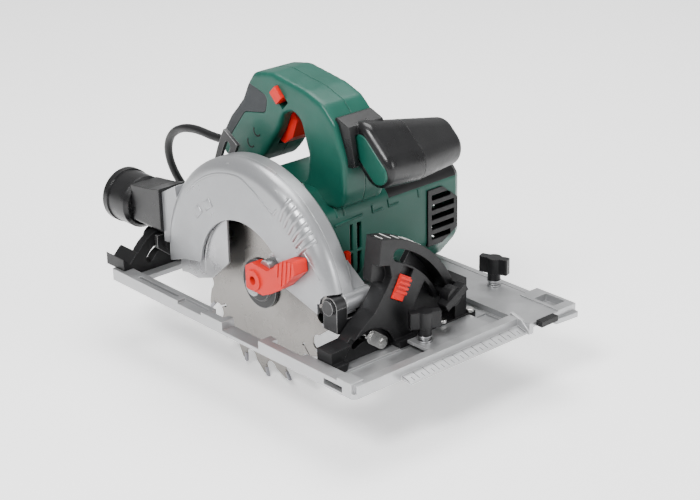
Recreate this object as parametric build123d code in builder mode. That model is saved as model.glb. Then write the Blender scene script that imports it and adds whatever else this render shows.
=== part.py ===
"""Corded hand-held circular saw for guide-rail work.

+X is the cutting direction, +Y points from the blade towards the motor and +Z is up.
The origin is on the sole, in the middle of the blade's thickness, straight under the
arbor. The saw rests at its full cutting depth, square to the sole, with the lower
guard swung back. All sizes are in millimetres.
"""
from build123d import *
import os
from math import acos, cos, degrees, pi, radians, sin, sqrt, tan

os.makedirs("parts", exist_ok=True)

# ---- driving dimensions ----
BLADE_RADIUS = 80.0
CUT_DEPTH = 55.0
ARBOR_Z = BLADE_RADIUS - CUT_DEPTH
ARBOR = (0.0, ARBOR_Z)
TEETH = 18
TOOTH_STEP = 360.0 / TEETH
FIRST_TOOTH = 213.0
PLATE_HALF = 0.7

GEAR_TEETH = 65
PINION_TEETH = 12
CENTRE_DISTANCE = 24.0
MODULE = 2 * CENTRE_DISTANCE / (GEAR_TEETH + PINION_TEETH)
SHAFT = (0.0, ARBOR_Z + CENTRE_DISTANCE)

GUARD_OUTER = 103.0
GUARD_FACE_EDGE = 92.0
GUARD_WALL = 2.5
GUARD_FACE_Y = -18.0
GUARD_SEAM_Y = -5.0
GUARD_BACK_Y = 8.0
WINDOW_RADIUS = 55.0
LOWER_GUARD_RADIUS = 87.0

PIVOT = (98.0, 41.0)
PIVOT_EAR_RADIUS = 7.5
PIVOT_PIN_RADIUS = 4.0

SOLE_NEAR_Y = -49.0
SOLE_FAR_Y = 165.0
SOLE_REAR_X = -140.0
SOLE_FRONT_X = 160.0
RIM_HEIGHT = 10.0
WEB_HEIGHT = 4.0
OPENING = (-113.0, 106.3, -37.0, 20.0)
GROOVE_Y = 134.5
GROOVE_WIDTH = 24.0
GROOVE_DEPTH = 5.0

SECTOR_OUTER = 94.0
SECTOR_SLOT = 82.0
SECTOR_BACK_X = 107.0
SECTOR_FACE_X = 123.0
REAR_SLOT = 24.5
GUIDE_SLOT = 18.5

MOTOR_FRONT_Y = 12.0
MOTOR_END_Y = 168.0
MOTOR_WALL = 3.0

HANDLE_NEAR_Y = 32.0
HANDLE_SEAM_Y = 53.0
HANDLE_FAR_Y = 74.0
HANDLE_WALL = 3.4
HANDLE_SHOULDER = 6.0
HANDLE_STEPS = 3
GRIP_PAD_THICKNESS = 1.6

SPOUT_CENTRE = (-2.0, 51.0)
SPOUT_RADIUS = 22.0
FIT = 0.05
GAP = 0.4


# ---- helpers ----
def at_y(y):
    """Sketch plane seen from the blade side: its axes are X and Z, and it extrudes to -Y."""
    return Plane.XZ.offset(-y)


def at_x(x):
    """Sketch plane across the saw: its axes are Y and Z, and it extrudes to +X."""
    return Plane.YZ.offset(x)


def polar(radius, angle, centre=ARBOR):
    """The point at a radius and an angle in degrees from a centre."""
    return (
        centre[0] + radius * cos(radians(angle)),
        centre[1] + radius * sin(radians(angle)),
    )


def ring_sector(inner, outer, start, size, centre=ARBOR):
    """Fill the part of a ring between two radii."""
    with BuildLine() as edge:
        far = CenterArc(centre, outer, start, size)
        near = CenterArc(centre, inner, start, size)
        Line(far @ 0, near @ 0)
        Line(far @ 1, near @ 1)
    make_face(edge.edges())


def arc_slot(radius, width, start, size, centre=ARBOR):
    """Fill a slot with round ends along an arc."""
    ring_sector(radius - width / 2, radius + width / 2, start, size, centre)
    with Locations(polar(radius, start, centre), polar(radius, start + size, centre)):
        Circle(width / 2)


def disc(radius, centre, from_y, to_y, mode=Mode.ADD):
    """A cylinder along Y."""
    with BuildSketch(at_y(to_y)) as profile:
        with Locations(centre):
            Circle(radius)
    extrude(profile.sketch, amount=to_y - from_y, mode=mode)


def block(x, y, z, mode=Mode.ADD):
    """A box between two limits along each axis."""
    with BuildSketch(Plane.XY.offset(z[0])) as profile:
        with Locations(((x[0] + x[1]) / 2, (y[0] + y[1]) / 2)):
            Rectangle(x[1] - x[0], y[1] - y[0])
    extrude(profile.sketch, amount=z[1] - z[0], mode=mode)


def prism(plane, amount, *points, mode=Mode.ADD):
    """A straight-sided outline extruded from its plane."""
    with BuildSketch(plane) as profile:
        Polygon(*points, align=None)
    extrude(profile.sketch, amount=amount, mode=mode)


def rounded_prism(plane, amount, radius, *points, mode=Mode.ADD):
    """A straight-sided outline with rounded corners, extruded from its plane."""
    with BuildSketch(plane) as profile:
        Polygon(*points, align=None)
        fillet(profile.vertices(), radius)
    extrude(profile.sketch, amount=amount, mode=mode)


def rod_x(radius, centre, from_x, to_x, mode=Mode.ADD):
    """A cylinder along X, its centre given in Y and Z."""
    with BuildSketch(at_x(from_x)) as profile:
        with Locations(centre):
            Circle(radius)
    extrude(profile.sketch, amount=to_x - from_x, mode=mode)


def rod_z(radius, centre, from_z, to_z, mode=Mode.ADD):
    """A cylinder along Z, its centre given in X and Y."""
    with BuildSketch(Plane.XY.offset(from_z)) as profile:
        with Locations(centre):
            Circle(radius)
    extrude(profile.sketch, amount=to_z - from_z, mode=mode)


def write(piece, name):
    """Label a finished piece and write its STEP file."""
    piece.part.label = name
    export_step(piece.part, f"parts/{name}.step")


# ---- base plate ----
NEAR_RIM_INNER = OPENING[2]
LEVER_NOTCH = (10.0, 54.0)
LEVER_NOTCH_FLOOR = 3.2
GUIDE_CHANNEL = (127.5, 147.5)
KNOB_FRONT = (137.5, 42.0)
KNOB_RAIL = (103.0, 151.5)
SECTOR_SCREW_X = 125.4
SECTOR_SCREWS_Y = (50, 72, 101)

with BuildPart() as base_plate:
    with BuildSketch():
        Polygon(
            (SOLE_REAR_X + 6, SOLE_NEAR_Y),
            (SOLE_FRONT_X - 3, SOLE_NEAR_Y),
            (SOLE_FRONT_X, SOLE_NEAR_Y + 3),
            (SOLE_FRONT_X, 118),
            (172, 122),
            (176, SOLE_FAR_Y + 5),
            (150, SOLE_FAR_Y + 5),
            (146, SOLE_FAR_Y),
            (SOLE_REAR_X + 6, SOLE_FAR_Y),
            (SOLE_REAR_X, SOLE_FAR_Y - 6),
            (SOLE_REAR_X, SOLE_NEAR_Y + 6),
            align=None,
        )
    extrude(amount=WEB_HEIGHT)
    # stiffening rims along the near, front, far and rear edges
    block((SOLE_REAR_X + 6, SOLE_FRONT_X - 3), (SOLE_NEAR_Y, NEAR_RIM_INNER), (0, RIM_HEIGHT))
    block((152, SOLE_FRONT_X), (SOLE_NEAR_Y + 3, 118), (0, RIM_HEIGHT))
    block((SOLE_REAR_X + 6, SOLE_FRONT_X), (SOLE_FAR_Y - 5, SOLE_FAR_Y), (0, 8))
    block((SOLE_REAR_X, SOLE_REAR_X + 5), (SOLE_NEAR_Y + 6, SOLE_FAR_Y - 6), (0, RIM_HEIGHT))
    # raised bridge over the guide rail's rib
    groove_near = GROOVE_Y - GROOVE_WIDTH / 2
    groove_far = GROOVE_Y + GROOVE_WIDTH / 2
    block((SOLE_REAR_X, 172), (groove_near - 4, groove_far + 11), (0, GROOVE_DEPTH + 4))
    # raised cover of the parallel guide's channel
    block((122, 152), (33, 98), (0, 9))
    block((132, 172), (groove_far + 4, SOLE_FAR_Y + 5), (0, 10))
    # graduated ledge in front of the fence
    with BuildSketch(at_y(118)):
        Polygon((SOLE_FRONT_X, 0), (170, 0), (170, 1.2), (SOLE_FRONT_X, 4), align=None)
    extrude(amount=121)
    # gusset at the ledge's far end
    with BuildSketch(at_y(121)):
        Polygon((152, 0), (172, 0), (172, 2), (164, 9), (152, 12), align=None)
    extrude(amount=3)
    # near front corner block
    block((142, SOLE_FRONT_X - 3), (SOLE_NEAR_Y, SOLE_NEAR_Y + 12), (0, 12))
    # opening for the blade and its guards
    block(OPENING[:2], OPENING[2:], (-1, 20), mode=Mode.SUBTRACT)
    block((-34, 34), (19, 33), (-1, 20), mode=Mode.SUBTRACT)
    # notches in the near rim
    block((-46, -16), (SOLE_NEAR_Y - 1, NEAR_RIM_INNER - 4), (7.5, 20), mode=Mode.SUBTRACT)
    block(LEVER_NOTCH, (SOLE_NEAR_Y - 1, NEAR_RIM_INNER + 1), (LEVER_NOTCH_FLOOR, 20),
          mode=Mode.SUBTRACT)
    block((-12, 4), (NEAR_RIM_INNER - 5, NEAR_RIM_INNER + 1), (5, 20), mode=Mode.SUBTRACT)
    block((62, 96), (NEAR_RIM_INNER - 5, NEAR_RIM_INNER + 1), (5, 20), mode=Mode.SUBTRACT)
    # long groove along the near rim's rear half
    block((-104, -52), (NEAR_RIM_INNER - 8, NEAR_RIM_INNER - 5), (7.5, 20), mode=Mode.SUBTRACT)
    # dip in the rear rim under the tilt clamp's knob
    block((SOLE_REAR_X - 1, SOLE_REAR_X + 6), (-31, -6), (WEB_HEIGHT, 20), mode=Mode.SUBTRACT)
    # groove in the sole for the rail's rib
    block((SOLE_REAR_X - 5, 190), (groove_near, groove_far), (-1, GROOVE_DEPTH),
          mode=Mode.SUBTRACT)
    # channel for the parallel guide's bar, with its windows
    block(GUIDE_CHANNEL, (SOLE_NEAR_Y - 1, groove_near - 6), (2, 6.5), mode=Mode.SUBTRACT)
    block(GUIDE_CHANNEL, (SOLE_NEAR_Y + 13, 32), (2, 20), mode=Mode.SUBTRACT)
    block(GUIDE_CHANNEL, (99, groove_near - 6), (2, 20), mode=Mode.SUBTRACT)
    block((144, 164), (groove_far + 7, SOLE_FAR_Y + 2), (4, 20), mode=Mode.SUBTRACT)
    # seat of the front sector's foot and its screw holes
    block((SECTOR_BACK_X, 128.2), (NEAR_RIM_INNER, 106.2), (WEB_HEIGHT, 20), mode=Mode.SUBTRACT)
    for hole_y in SECTOR_SCREWS_Y:
        rod_z(2.2, (SECTOR_SCREW_X, hole_y), -1, 12, mode=Mode.SUBTRACT)
    # clamp screw holes
    rod_z(3, KNOB_FRONT, 5, 15, mode=Mode.SUBTRACT)
    rod_z(3, KNOB_RAIL, -1, 15, mode=Mode.SUBTRACT)
    fillet(base_plate.edges().filter_by(Axis.Z).sort_by(Axis.X)[-2:], 2)
write(base_plate, "base_plate")

# black glide pads on the plate's ends, beside the rail's rib
with BuildPart() as rail_pads:
    block((172.2, 178), (GROOVE_Y - 9, GROOVE_Y + 9), (GROOVE_DEPTH + 0.5, GROOVE_DEPTH + 5))
    block((SOLE_REAR_X - 5, SOLE_REAR_X - 0.2), (GROOVE_Y - 9, GROOVE_Y + 9),
          (GROOVE_DEPTH + 0.5, GROOVE_DEPTH + 5))
write(rail_pads, "rail_pads")

# ---- front sector: fixed arc that guides the tilt ----
LEFT_EDGE = ((-36.8, 4), (-36.8, 19), (-17, 20), (-7, 29), (6, 38), (17, 52), (23, 61), (21, 72), (13, 80))
SECTOR_START = 24.0
SECTOR_SWEEP = 58.0
STOP_DIRECTION = (cos(radians(60)), sin(radians(60)))
STOP_CENTRE = (33.0, 53.0)

with BuildPart() as front_sector:
    with BuildSketch(at_x(SECTOR_BACK_X)):
        Polygon(*LEFT_EDGE, polar(SECTOR_OUTER - 1, 82, (0, 0)), polar(SECTOR_OUTER - 1, 53, (0, 0)),
                polar(SECTOR_OUTER - 1, SECTOR_START, (0, 0)), (96, 38), (96, 16), (106, 15),
                (106, 4), align=None)
        ring_sector(60, SECTOR_OUTER, SECTOR_START, SECTOR_SWEEP, (0, 0))
    extrude(amount=9)
    # thick rim that carries the scale
    with BuildSketch(at_x(SECTOR_BACK_X)):
        ring_sector(SECTOR_SLOT - 8, SECTOR_OUTER, SECTOR_START, SECTOR_SWEEP, (0, 0))
    extrude(amount=SECTOR_FACE_X - SECTOR_BACK_X)
    # neck and foot
    prism(at_x(SECTOR_BACK_X), SECTOR_FACE_X - SECTOR_BACK_X, *LEFT_EDGE, (30, 76), (58, 52),
          (46, 34), (40, 24), (44, 4))
    block((SECTOR_BACK_X, 128), (-36, 105), (4, 10))
    # flange at the arc's lower end
    block((SECTOR_BACK_X, 127), (84, 96), (10, 40))
    # long slot of the clamp bolt
    with BuildSketch(at_x(SECTOR_BACK_X - 1)):
        arc_slot(SECTOR_SLOT, 10, 22.5, 46.5, (0, 0))
    extrude(amount=20, mode=Mode.SUBTRACT)
    # recess and slot of the guide pins
    with BuildSketch(at_x(118)):
        with Locations((0, 0)):
            Circle(GUIDE_SLOT + 8)
    extrude(amount=12, mode=Mode.SUBTRACT)
    block((SECTOR_BACK_X, 118), (-36, 40), (4, 6))
    with BuildSketch(at_x(SECTOR_BACK_X - 1)):
        arc_slot(GUIDE_SLOT, 5.6, 27, 97, (0, 0))
    extrude(amount=20, mode=Mode.SUBTRACT)
    # slanted pocket of the stop slider
    with BuildSketch(at_x(SECTOR_FACE_X - 4)):
        with Locations(STOP_CENTRE):
            Rectangle(26, 12.6, rotation=60)
    extrude(amount=5, mode=Mode.SUBTRACT)
    # screw holes in the foot
    for hole_y in SECTOR_SCREWS_Y:
        rod_z(2.2, (SECTOR_SCREW_X, hole_y), 3, 12, mode=Mode.SUBTRACT)
write(front_sector, "front_sector")

# red slider that sets the far stop of the tilt
with BuildPart() as tilt_stop_slider:
    with BuildSketch(at_x(SECTOR_FACE_X - 3.9)):
        with Locations((STOP_CENTRE[0] + STOP_DIRECTION[0] * -3, STOP_CENTRE[1] + STOP_DIRECTION[1] * -3)):
            Rectangle(19, 11.8, rotation=60)
    extrude(amount=5)
    with BuildSketch(at_x(SECTOR_FACE_X + 1.1)):
        for rib in range(4):
            step = rib * 3.4 - 6
            with Locations((STOP_CENTRE[0] + STOP_DIRECTION[0] * step,
                            STOP_CENTRE[1] + STOP_DIRECTION[1] * step)):
                Rectangle(2, 11.8, rotation=60)
    extrude(amount=1.6)
write(tilt_stop_slider, "tilt_stop_slider")

# ---- rear sector on its foot ----
with BuildPart() as rear_sector:
    block((-146, -122), (-46, -31), (RIM_HEIGHT, 22))
    block((-130, -122), (-46, NEAR_RIM_INNER), (RIM_HEIGHT, 12))
    block((-130, -122), (NEAR_RIM_INNER, 18), (WEB_HEIGHT, 12))
    # notch that the dust adapter's corner drops into at full tilt
    prism(at_x(-150), 40, (-40, 14.4), (-66, 40.4), (-14, 40.4), mode=Mode.SUBTRACT)
    # upright arc with the clamp bolt's slot
    with BuildSketch(at_x(-130)):
        ring_sector(12, 38, 88, 74, (0, 0))
    extrude(amount=8)
    with BuildSketch(at_x(-140)):
        arc_slot(REAR_SLOT, 7, 94, 50, (0, 0))
    extrude(amount=30, mode=Mode.SUBTRACT)
    # the arc's lower corner is cut off level with the plate's web
    block((-150, -100), (-60, 50), (-20, WEB_HEIGHT), mode=Mode.SUBTRACT)
write(rear_sector, "rear_sector")

with BuildPart() as sector_screws:
    for hole_y in SECTOR_SCREWS_Y:
        rod_z(2.2, (SECTOR_SCREW_X, hole_y), 1, 10)
        rod_z(3.4, (SECTOR_SCREW_X, hole_y), 10, 12.5)
    fillet(sector_screws.edges().filter_by(GeomType.CIRCLE).group_by(Axis.Z)[-1], 0.8)
write(sector_screws, "sector_screws")

# ---- clamp screws on the base plate ----
KNOB_SEAT_Z = 9.0


def wing_knob(centre, seat, turn):
    """A T-shaped moulded head on a short hub."""
    rod_z(5.2, centre, seat + 5, seat + 11)
    with BuildSketch(Plane.XY.offset(seat + 11)) as wing:
        with Locations(centre):
            Rectangle(24, 7, rotation=turn)
            Circle(6)
    extrude(wing.sketch, amount=13)


def clamp_screw(centre, seat, tip):
    """A threaded shank with its washers and short spring."""
    rod_z(2.6, centre, tip, seat + 5)
    rod_z(5.5, centre, seat + 0.3, seat + 1.3)
    rod_z(4.4, centre, seat + 1.9, seat + 2.5)
    rod_z(4.4, centre, seat + 3.1, seat + 3.7)
    rod_z(5.5, centre, seat + 4.2, seat + 5)


with BuildPart() as guide_clamp_knob:
    wing_knob(KNOB_FRONT, KNOB_SEAT_Z, 60)
    fillet(guide_clamp_knob.edges().filter_by(Axis.Z), 1.2)
write(guide_clamp_knob, "guide_clamp_knob")

with BuildPart() as guide_clamp_screw:
    clamp_screw(KNOB_FRONT, KNOB_SEAT_Z, 6.6)
write(guide_clamp_screw, "guide_clamp_screw")

with BuildPart() as rail_clamp_knob:
    wing_knob(KNOB_RAIL, KNOB_SEAT_Z, 20)
    fillet(rail_clamp_knob.edges().filter_by(Axis.Z), 1.2)
write(rail_clamp_knob, "rail_clamp_knob")

with BuildPart() as rail_clamp_screw:
    clamp_screw(KNOB_RAIL, KNOB_SEAT_Z, 1)
write(rail_clamp_screw, "rail_clamp_screw")

# ---- tilting carriage ----
FRAME_Z = (4.6, 7.6)
FRAME_LENGTH = (-120.0, 101.4)
PIN_ANGLES = (74.0, 34.0)
EAR_NEAR = (-16.0, -6.0)
EAR_FAR = (20.0, 30.0)
LUG = (-5.5, 19.5)
REAR_BOLT_ANGLE = 97.0
FRONT_BOLT_ANGLE = 24.0
REAR_BOLT = polar(REAR_SLOT, REAR_BOLT_ANGLE, (0, 0))
FRONT_BOLT = polar(SECTOR_SLOT, FRONT_BOLT_ANGLE, (0, 0))
DEPTH_GUIDE_Y = (13.5, 16.5)
DEPTH_RADIUS = 172.0

with BuildPart() as tilt_frame:
    # flat steel plate beside and under the motor
    block(FRAME_LENGTH, (30.8, 46), FRAME_Z)
    block((FRAME_LENGTH[0], -38), (10, 32), FRAME_Z)
    block((38, 90), (10, 32), FRAME_Z)
    block((90, FRAME_LENGTH[1]), (20.5, 46), FRAME_Z)
    # rear flange with the clamp bolt's hole
    prism(at_x(-121.6), 3, (-14, 22), (-14, 33), (10, 33), (34, 14), (34, FRAME_Z[0]), (8, FRAME_Z[0]))
    rod_x(3.1, REAR_BOLT, -130, -110, mode=Mode.SUBTRACT)
write(tilt_frame, "tilt_frame")

with BuildPart() as pivot_bracket:
    # block under the depth pivot, with its two ears
    prism(at_x(90.6), 15, (-16, 22), (-16, 41), (30, 41), (30, 20.5), (30, 8), (20.5, 8), (8, 14))
    disc(PIVOT_EAR_RADIUS, PIVOT, EAR_NEAR[0], EAR_FAR[1])
    block((80, 105.7), (LUG[0] - 0.4, LUG[1] + 0.4), (31.5, 60), mode=Mode.SUBTRACT)
    # plate behind the front sector, with its arc and its arm
    prism(at_x(101.6), 4.8, (3, 13), (3, 30), (26, 46), (60, 50), (72, 46), (80, 38), (76, 27), (40, 22),
          (32, 5), (10, 5))
    with BuildSketch(at_x(101.6)):
        ring_sector(SECTOR_SLOT - 7, SECTOR_SLOT + 7, FRONT_BOLT_ANGLE - 3, 29, (0, 0))
    extrude(amount=4.8)
    disc(PIVOT_PIN_RADIUS + FIT, PIVOT, -20, 34, mode=Mode.SUBTRACT)
    disc(PIVOT_EAR_RADIUS, PIVOT, EAR_FAR[1], 40, mode=Mode.SUBTRACT)
    block((80, 101), (LUG[0] - 0.4, LUG[1] + 0.4), (31.5, 60), mode=Mode.SUBTRACT)
    disc(PIVOT_EAR_RADIUS + GAP, PIVOT, LUG[0] - GAP, LUG[1] + GAP, mode=Mode.SUBTRACT)
    rod_x(3.1, FRONT_BOLT, 95, 110, mode=Mode.SUBTRACT)
    for angle in PIN_ANGLES:
        rod_x(2.5, polar(GUIDE_SLOT, angle, (0, 0)), 100, 110, mode=Mode.SUBTRACT)
write(pivot_bracket, "pivot_bracket")

with BuildPart() as front_guide_plate:
    pins = [polar(GUIDE_SLOT, angle, (0, 0)) for angle in PIN_ANGLES]
    with BuildSketch(at_x(118.4)):
        SlotCenterPoint(
            ((pins[0][0] + pins[1][0]) / 2, (pins[0][1] + pins[1][1]) / 2),
            pins[0],
            10.4,
        )
    extrude(amount=2)
    for pin in pins:
        rod_x(2.5, pin, 101.6, 118.4)
        rod_x(3, pin, 120.4, 121.4)
write(front_guide_plate, "front_guide_plate")

with BuildPart() as depth_guide:
    with BuildSketch(at_y(DEPTH_GUIDE_Y[1])):
        ring_sector(DEPTH_RADIUS - 9.5, DEPTH_RADIUS + 9.5, 149.5, 41, PIVOT)
    extrude(amount=DEPTH_GUIDE_Y[1] - DEPTH_GUIDE_Y[0])
    with BuildSketch(at_y(DEPTH_GUIDE_Y[1] + 1)):
        arc_slot(DEPTH_RADIUS, 7, 152.5, 34, PIVOT)
    extrude(amount=5, mode=Mode.SUBTRACT)
    block((-140, -40), (0, 30), (-40, FRAME_Z[1]), mode=Mode.SUBTRACT)
    # foot that stands on the frame
    block((-95, -66), (DEPTH_GUIDE_Y[0], 26), (FRAME_Z[1], FRAME_Z[1] + 3))
write(depth_guide, "depth_guide")

with BuildPart() as depth_pivot_pin:
    disc(PIVOT_PIN_RADIUS, PIVOT, -16.5, 32)
    disc(6.5, PIVOT, 30.1, 34)
    disc(5.8, PIVOT, -18.5, -16.1)
    with BuildSketch(at_y(34)):
        with Locations(PIVOT):
            RegularPolygon(3, 6)
    extrude(amount=2.5, mode=Mode.SUBTRACT)
write(depth_pivot_pin, "depth_pivot_pin")

with BuildPart() as front_tilt_knob:
    rod_x(2.9, FRONT_BOLT, 102, 124)
    rod_x(7.5, FRONT_BOLT, 127.4, 136)
    rod_x(4, FRONT_BOLT, 123.4, 127.5)
    with BuildSketch(at_x(129)):
        with Locations(FRONT_BOLT):
            Rectangle(24, 6, rotation=30)
    extrude(amount=9)
write(front_tilt_knob, "front_tilt_knob")

with BuildPart() as rear_tilt_knob:
    rod_x(2.9, REAR_BOLT, -131, -118.4)
    rod_x(5.4, REAR_BOLT, -118.4, -114)
    rod_x(7.5, REAR_BOLT, -144, -130.5)
    with BuildSketch(at_x(-144)):
        with Locations(REAR_BOLT):
            Rectangle(4, 17, rotation=0)
    extrude(amount=11)
write(rear_tilt_knob, "rear_tilt_knob")

# ---- blade and its fittings ----
TIP_RAKE = 1.9
SEAT_RADIUS = 72.6


def tooth_tip(angle):
    """Corners of one carbide tip, at the blade's own rake."""
    return (
        polar(BLADE_RADIUS, angle),
        polar(BLADE_RADIUS - 0.6, angle - 1.9),
        polar(SEAT_RADIUS, angle - 3.0),
        polar(SEAT_RADIUS, angle - 1.4),
    )


with BuildPart() as saw_blade:
    with BuildSketch(at_y(PLATE_HALF)):
        with BuildLine():
            for tooth in range(TEETH):
                tip = FIRST_TOOTH + TOOTH_STEP * tooth
                top = polar(BLADE_RADIUS - 1.2, tip)
                land = polar(BLADE_RADIUS - 2, tip - 4)
                slope = polar(70.5, tip - 11.5)
                root = polar(65.5, tip - 17.2)
                face = polar(70.5, tip - TOOTH_STEP - TIP_RAKE)
                Line(top, land)
                Line(land, slope)
                ThreePointArc(slope, root, face)
                Line(face, polar(BLADE_RADIUS - 1.2, tip - TOOTH_STEP))
        make_face()
        with Locations(ARBOR):
            Circle(10, mode=Mode.SUBTRACT)
        # expansion slots, each ending in a small hole
        for slot_angle in (215.5, 323, 77):
            Polygon(polar(60, slot_angle), polar(60, slot_angle + 0.9), polar(70, slot_angle - 0.6),
                    polar(70, slot_angle - 1.4), align=None, mode=Mode.SUBTRACT)
            with Locations(polar(60, slot_angle + 0.4)):
                Circle(1.6, mode=Mode.SUBTRACT)
    extrude(amount=2 * PLATE_HALF)
    with BuildSketch(at_y(2)):
        for tooth in range(TEETH):
            tip = FIRST_TOOTH + TOOTH_STEP * tooth
            Polygon(*tooth_tip(tip), polar(SEAT_RADIUS + 1, tip + 1.5), polar(BLADE_RADIUS, tip + 1.5),
                    align=None)
    extrude(amount=4, mode=Mode.SUBTRACT)
write(saw_blade, "saw_blade")

with BuildPart() as carbide_tips:
    with BuildSketch(at_y(1.1)):
        for tooth in range(TEETH):
            Polygon(*tooth_tip(FIRST_TOOTH + TOOTH_STEP * tooth), align=None)
    extrude(amount=2.2)
write(carbide_tips, "carbide_tips")

with BuildPart() as inner_flange:
    disc(18, ARBOR, PLATE_HALF, 3.5)
    disc(10, ARBOR, -PLATE_HALF, PLATE_HALF)
    disc(11, ARBOR, 3.5, 7)
    disc(6, ARBOR, -2, 8, mode=Mode.SUBTRACT)
write(inner_flange, "inner_flange")

with BuildPart() as outer_flange:
    disc(20, ARBOR, -3.2, -PLATE_HALF)
    disc(14, ARBOR, -5.2, -3.2)
    disc(4, ARBOR, -6, 0, mode=Mode.SUBTRACT)
    chamfer(outer_flange.edges().filter_by(GeomType.CIRCLE).group_by(Axis.Y)[0], 0.6)
write(outer_flange, "outer_flange")

with BuildPart() as blade_bolt:
    disc(4, ARBOR, -5.2, 14)
    disc(8, ARBOR, -10.5, -5.2)
    with BuildSketch(at_y(-6.5)):
        with Locations(ARBOR):
            RegularPolygon(3.5, 6)
    extrude(amount=6, mode=Mode.SUBTRACT)
write(blade_bolt, "blade_bolt")

with BuildPart() as spindle:
    disc(6, ARBOR, -PLATE_HALF, 9)
    disc(7.5, ARBOR, 9, 18)
    disc(7, ARBOR, 18, 27)
    disc(4.5, ARBOR, 27, 30)
    disc(4, ARBOR, -2, 14, mode=Mode.SUBTRACT)
write(spindle, "spindle")


# ---- reduction gears ----
PRESSURE_ANGLE = 25.0


def gear_outline(teeth, centre, turn, backlash):
    """An involute gear's outline, three straight runs to each flank."""
    pitch = MODULE * teeth / 2
    base = pitch * cos(radians(PRESSURE_ANGLE))
    radii = (max(base, pitch - MODULE), pitch, pitch + MODULE / 2, pitch + MODULE * 0.95)
    root = pitch - 1.25 * MODULE
    inv_pitch = tan(radians(PRESSURE_ANGLE)) - radians(PRESSURE_ANGLE)
    half = 90 / teeth - degrees(backlash / (2 * pitch))
    points = []
    for tooth in range(teeth):
        middle = turn + 360 / teeth * tooth
        flank = []
        for radius in radii:
            roll = acos(min(1, base / radius))
            flank.append((radius, half + degrees(inv_pitch - (tan(roll) - roll))))
        points.append(polar(root, middle - flank[0][1], centre))
        points += [polar(r, middle - a, centre) for r, a in flank]
        points += [polar(r, middle + a, centre) for r, a in reversed(flank)]
        points.append(polar(root, middle + flank[0][1], centre))
    return points


with BuildPart() as spindle_gear:
    prism(at_y(26.5), 7, *gear_outline(GEAR_TEETH, ARBOR, 90, 0.06))
    disc(7, ARBOR, 15, 30, mode=Mode.SUBTRACT)
write(spindle_gear, "spindle_gear")

ARMATURE_END_Y = 157.0
with BuildPart() as armature:
    prism(at_y(27), 8, *gear_outline(PINION_TEETH, SHAFT, 270 + 180 / PINION_TEETH, 0.06))
    disc(2.7, SHAFT, 16, 19.5)
    disc(4, SHAFT, 27, 36.5)
    disc(5, SHAFT, 36.5, 140)
    disc(4, SHAFT, 140, ARMATURE_END_Y)
    disc(21.5, SHAFT, 70, 118)
    disc(12, SHAFT, 126, 144)
    # slots of the laminated core
    with BuildSketch(at_y(119)):
        with Locations(SHAFT):
            with PolarLocations(20.5, 12):
                Rectangle(4, 2.4)
    extrude(amount=50, mode=Mode.SUBTRACT)
write(armature, "armature")

with BuildPart() as fan:
    disc(33, SHAFT, 50, 52)
    disc(9, SHAFT, 52, 61)
    with BuildSketch(at_y(61)):
        with Locations(SHAFT):
            with PolarLocations(21, 11):
                Rectangle(22, 1.8, rotation=20)
    extrude(amount=9)
    disc(5, SHAFT, 49, 62, mode=Mode.SUBTRACT)
write(fan, "fan")

# ---- lower guard ----
GUARD_LEAD = 188.6
GUARD_SPAN = 158.6
LOWER_FACE_Y = (-14.0, -12.0)
LOWER_BACK_Y = (3.0, 5.0)
HUB_RADIUS = 22.0
STUB = polar(46, 42)

with BuildPart() as lower_guard:
    # outer cheek, deeper at the leading end, with a tab for the lever's stub
    with BuildSketch(at_y(LOWER_FACE_Y[1])):
        ring_sector(57, LOWER_GUARD_RADIUS, GUARD_LEAD - GUARD_SPAN, GUARD_SPAN)
        Polygon((-24, 38), (-24, 76), (-50, 76), (-75, 50), (-83, 25), (-83, 13.5), (-65, 12.5),
                (-45, 19), align=None)
        Polygon(polar(60, 32), polar(60, 50), polar(45, 52), polar(39.5, 42), polar(45, 34), align=None)
    extrude(amount=LOWER_FACE_Y[1] - LOWER_FACE_Y[0])
    # drum wall
    with BuildSketch(at_y(LOWER_BACK_Y[1])):
        ring_sector(LOWER_GUARD_RADIUS - 2, LOWER_GUARD_RADIUS, GUARD_LEAD - GUARD_SPAN, GUARD_SPAN)
    extrude(amount=LOWER_BACK_Y[1] - LOWER_FACE_Y[0])
    # inner cheek with its hub
    with BuildSketch(at_y(LOWER_BACK_Y[1])):
        ring_sector(HUB_RADIUS + 3, LOWER_GUARD_RADIUS, GUARD_LEAD - GUARD_SPAN, GUARD_SPAN)
        with Locations(ARBOR):
            Circle(HUB_RADIUS + 5)
            Circle(HUB_RADIUS + FIT, mode=Mode.SUBTRACT)
    extrude(amount=LOWER_BACK_Y[1] - LOWER_BACK_Y[0])
    # stub that carries the lever
    disc(5.5, STUB, -24, LOWER_FACE_Y[0])
    # shallow step along the outer cheek's band
    with BuildSketch(at_y(LOWER_FACE_Y[0] + 0.6)):
        ring_sector(53, 54.5, 140, 46)
    extrude(amount=2, mode=Mode.SUBTRACT)
write(lower_guard, "lower_guard")

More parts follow.
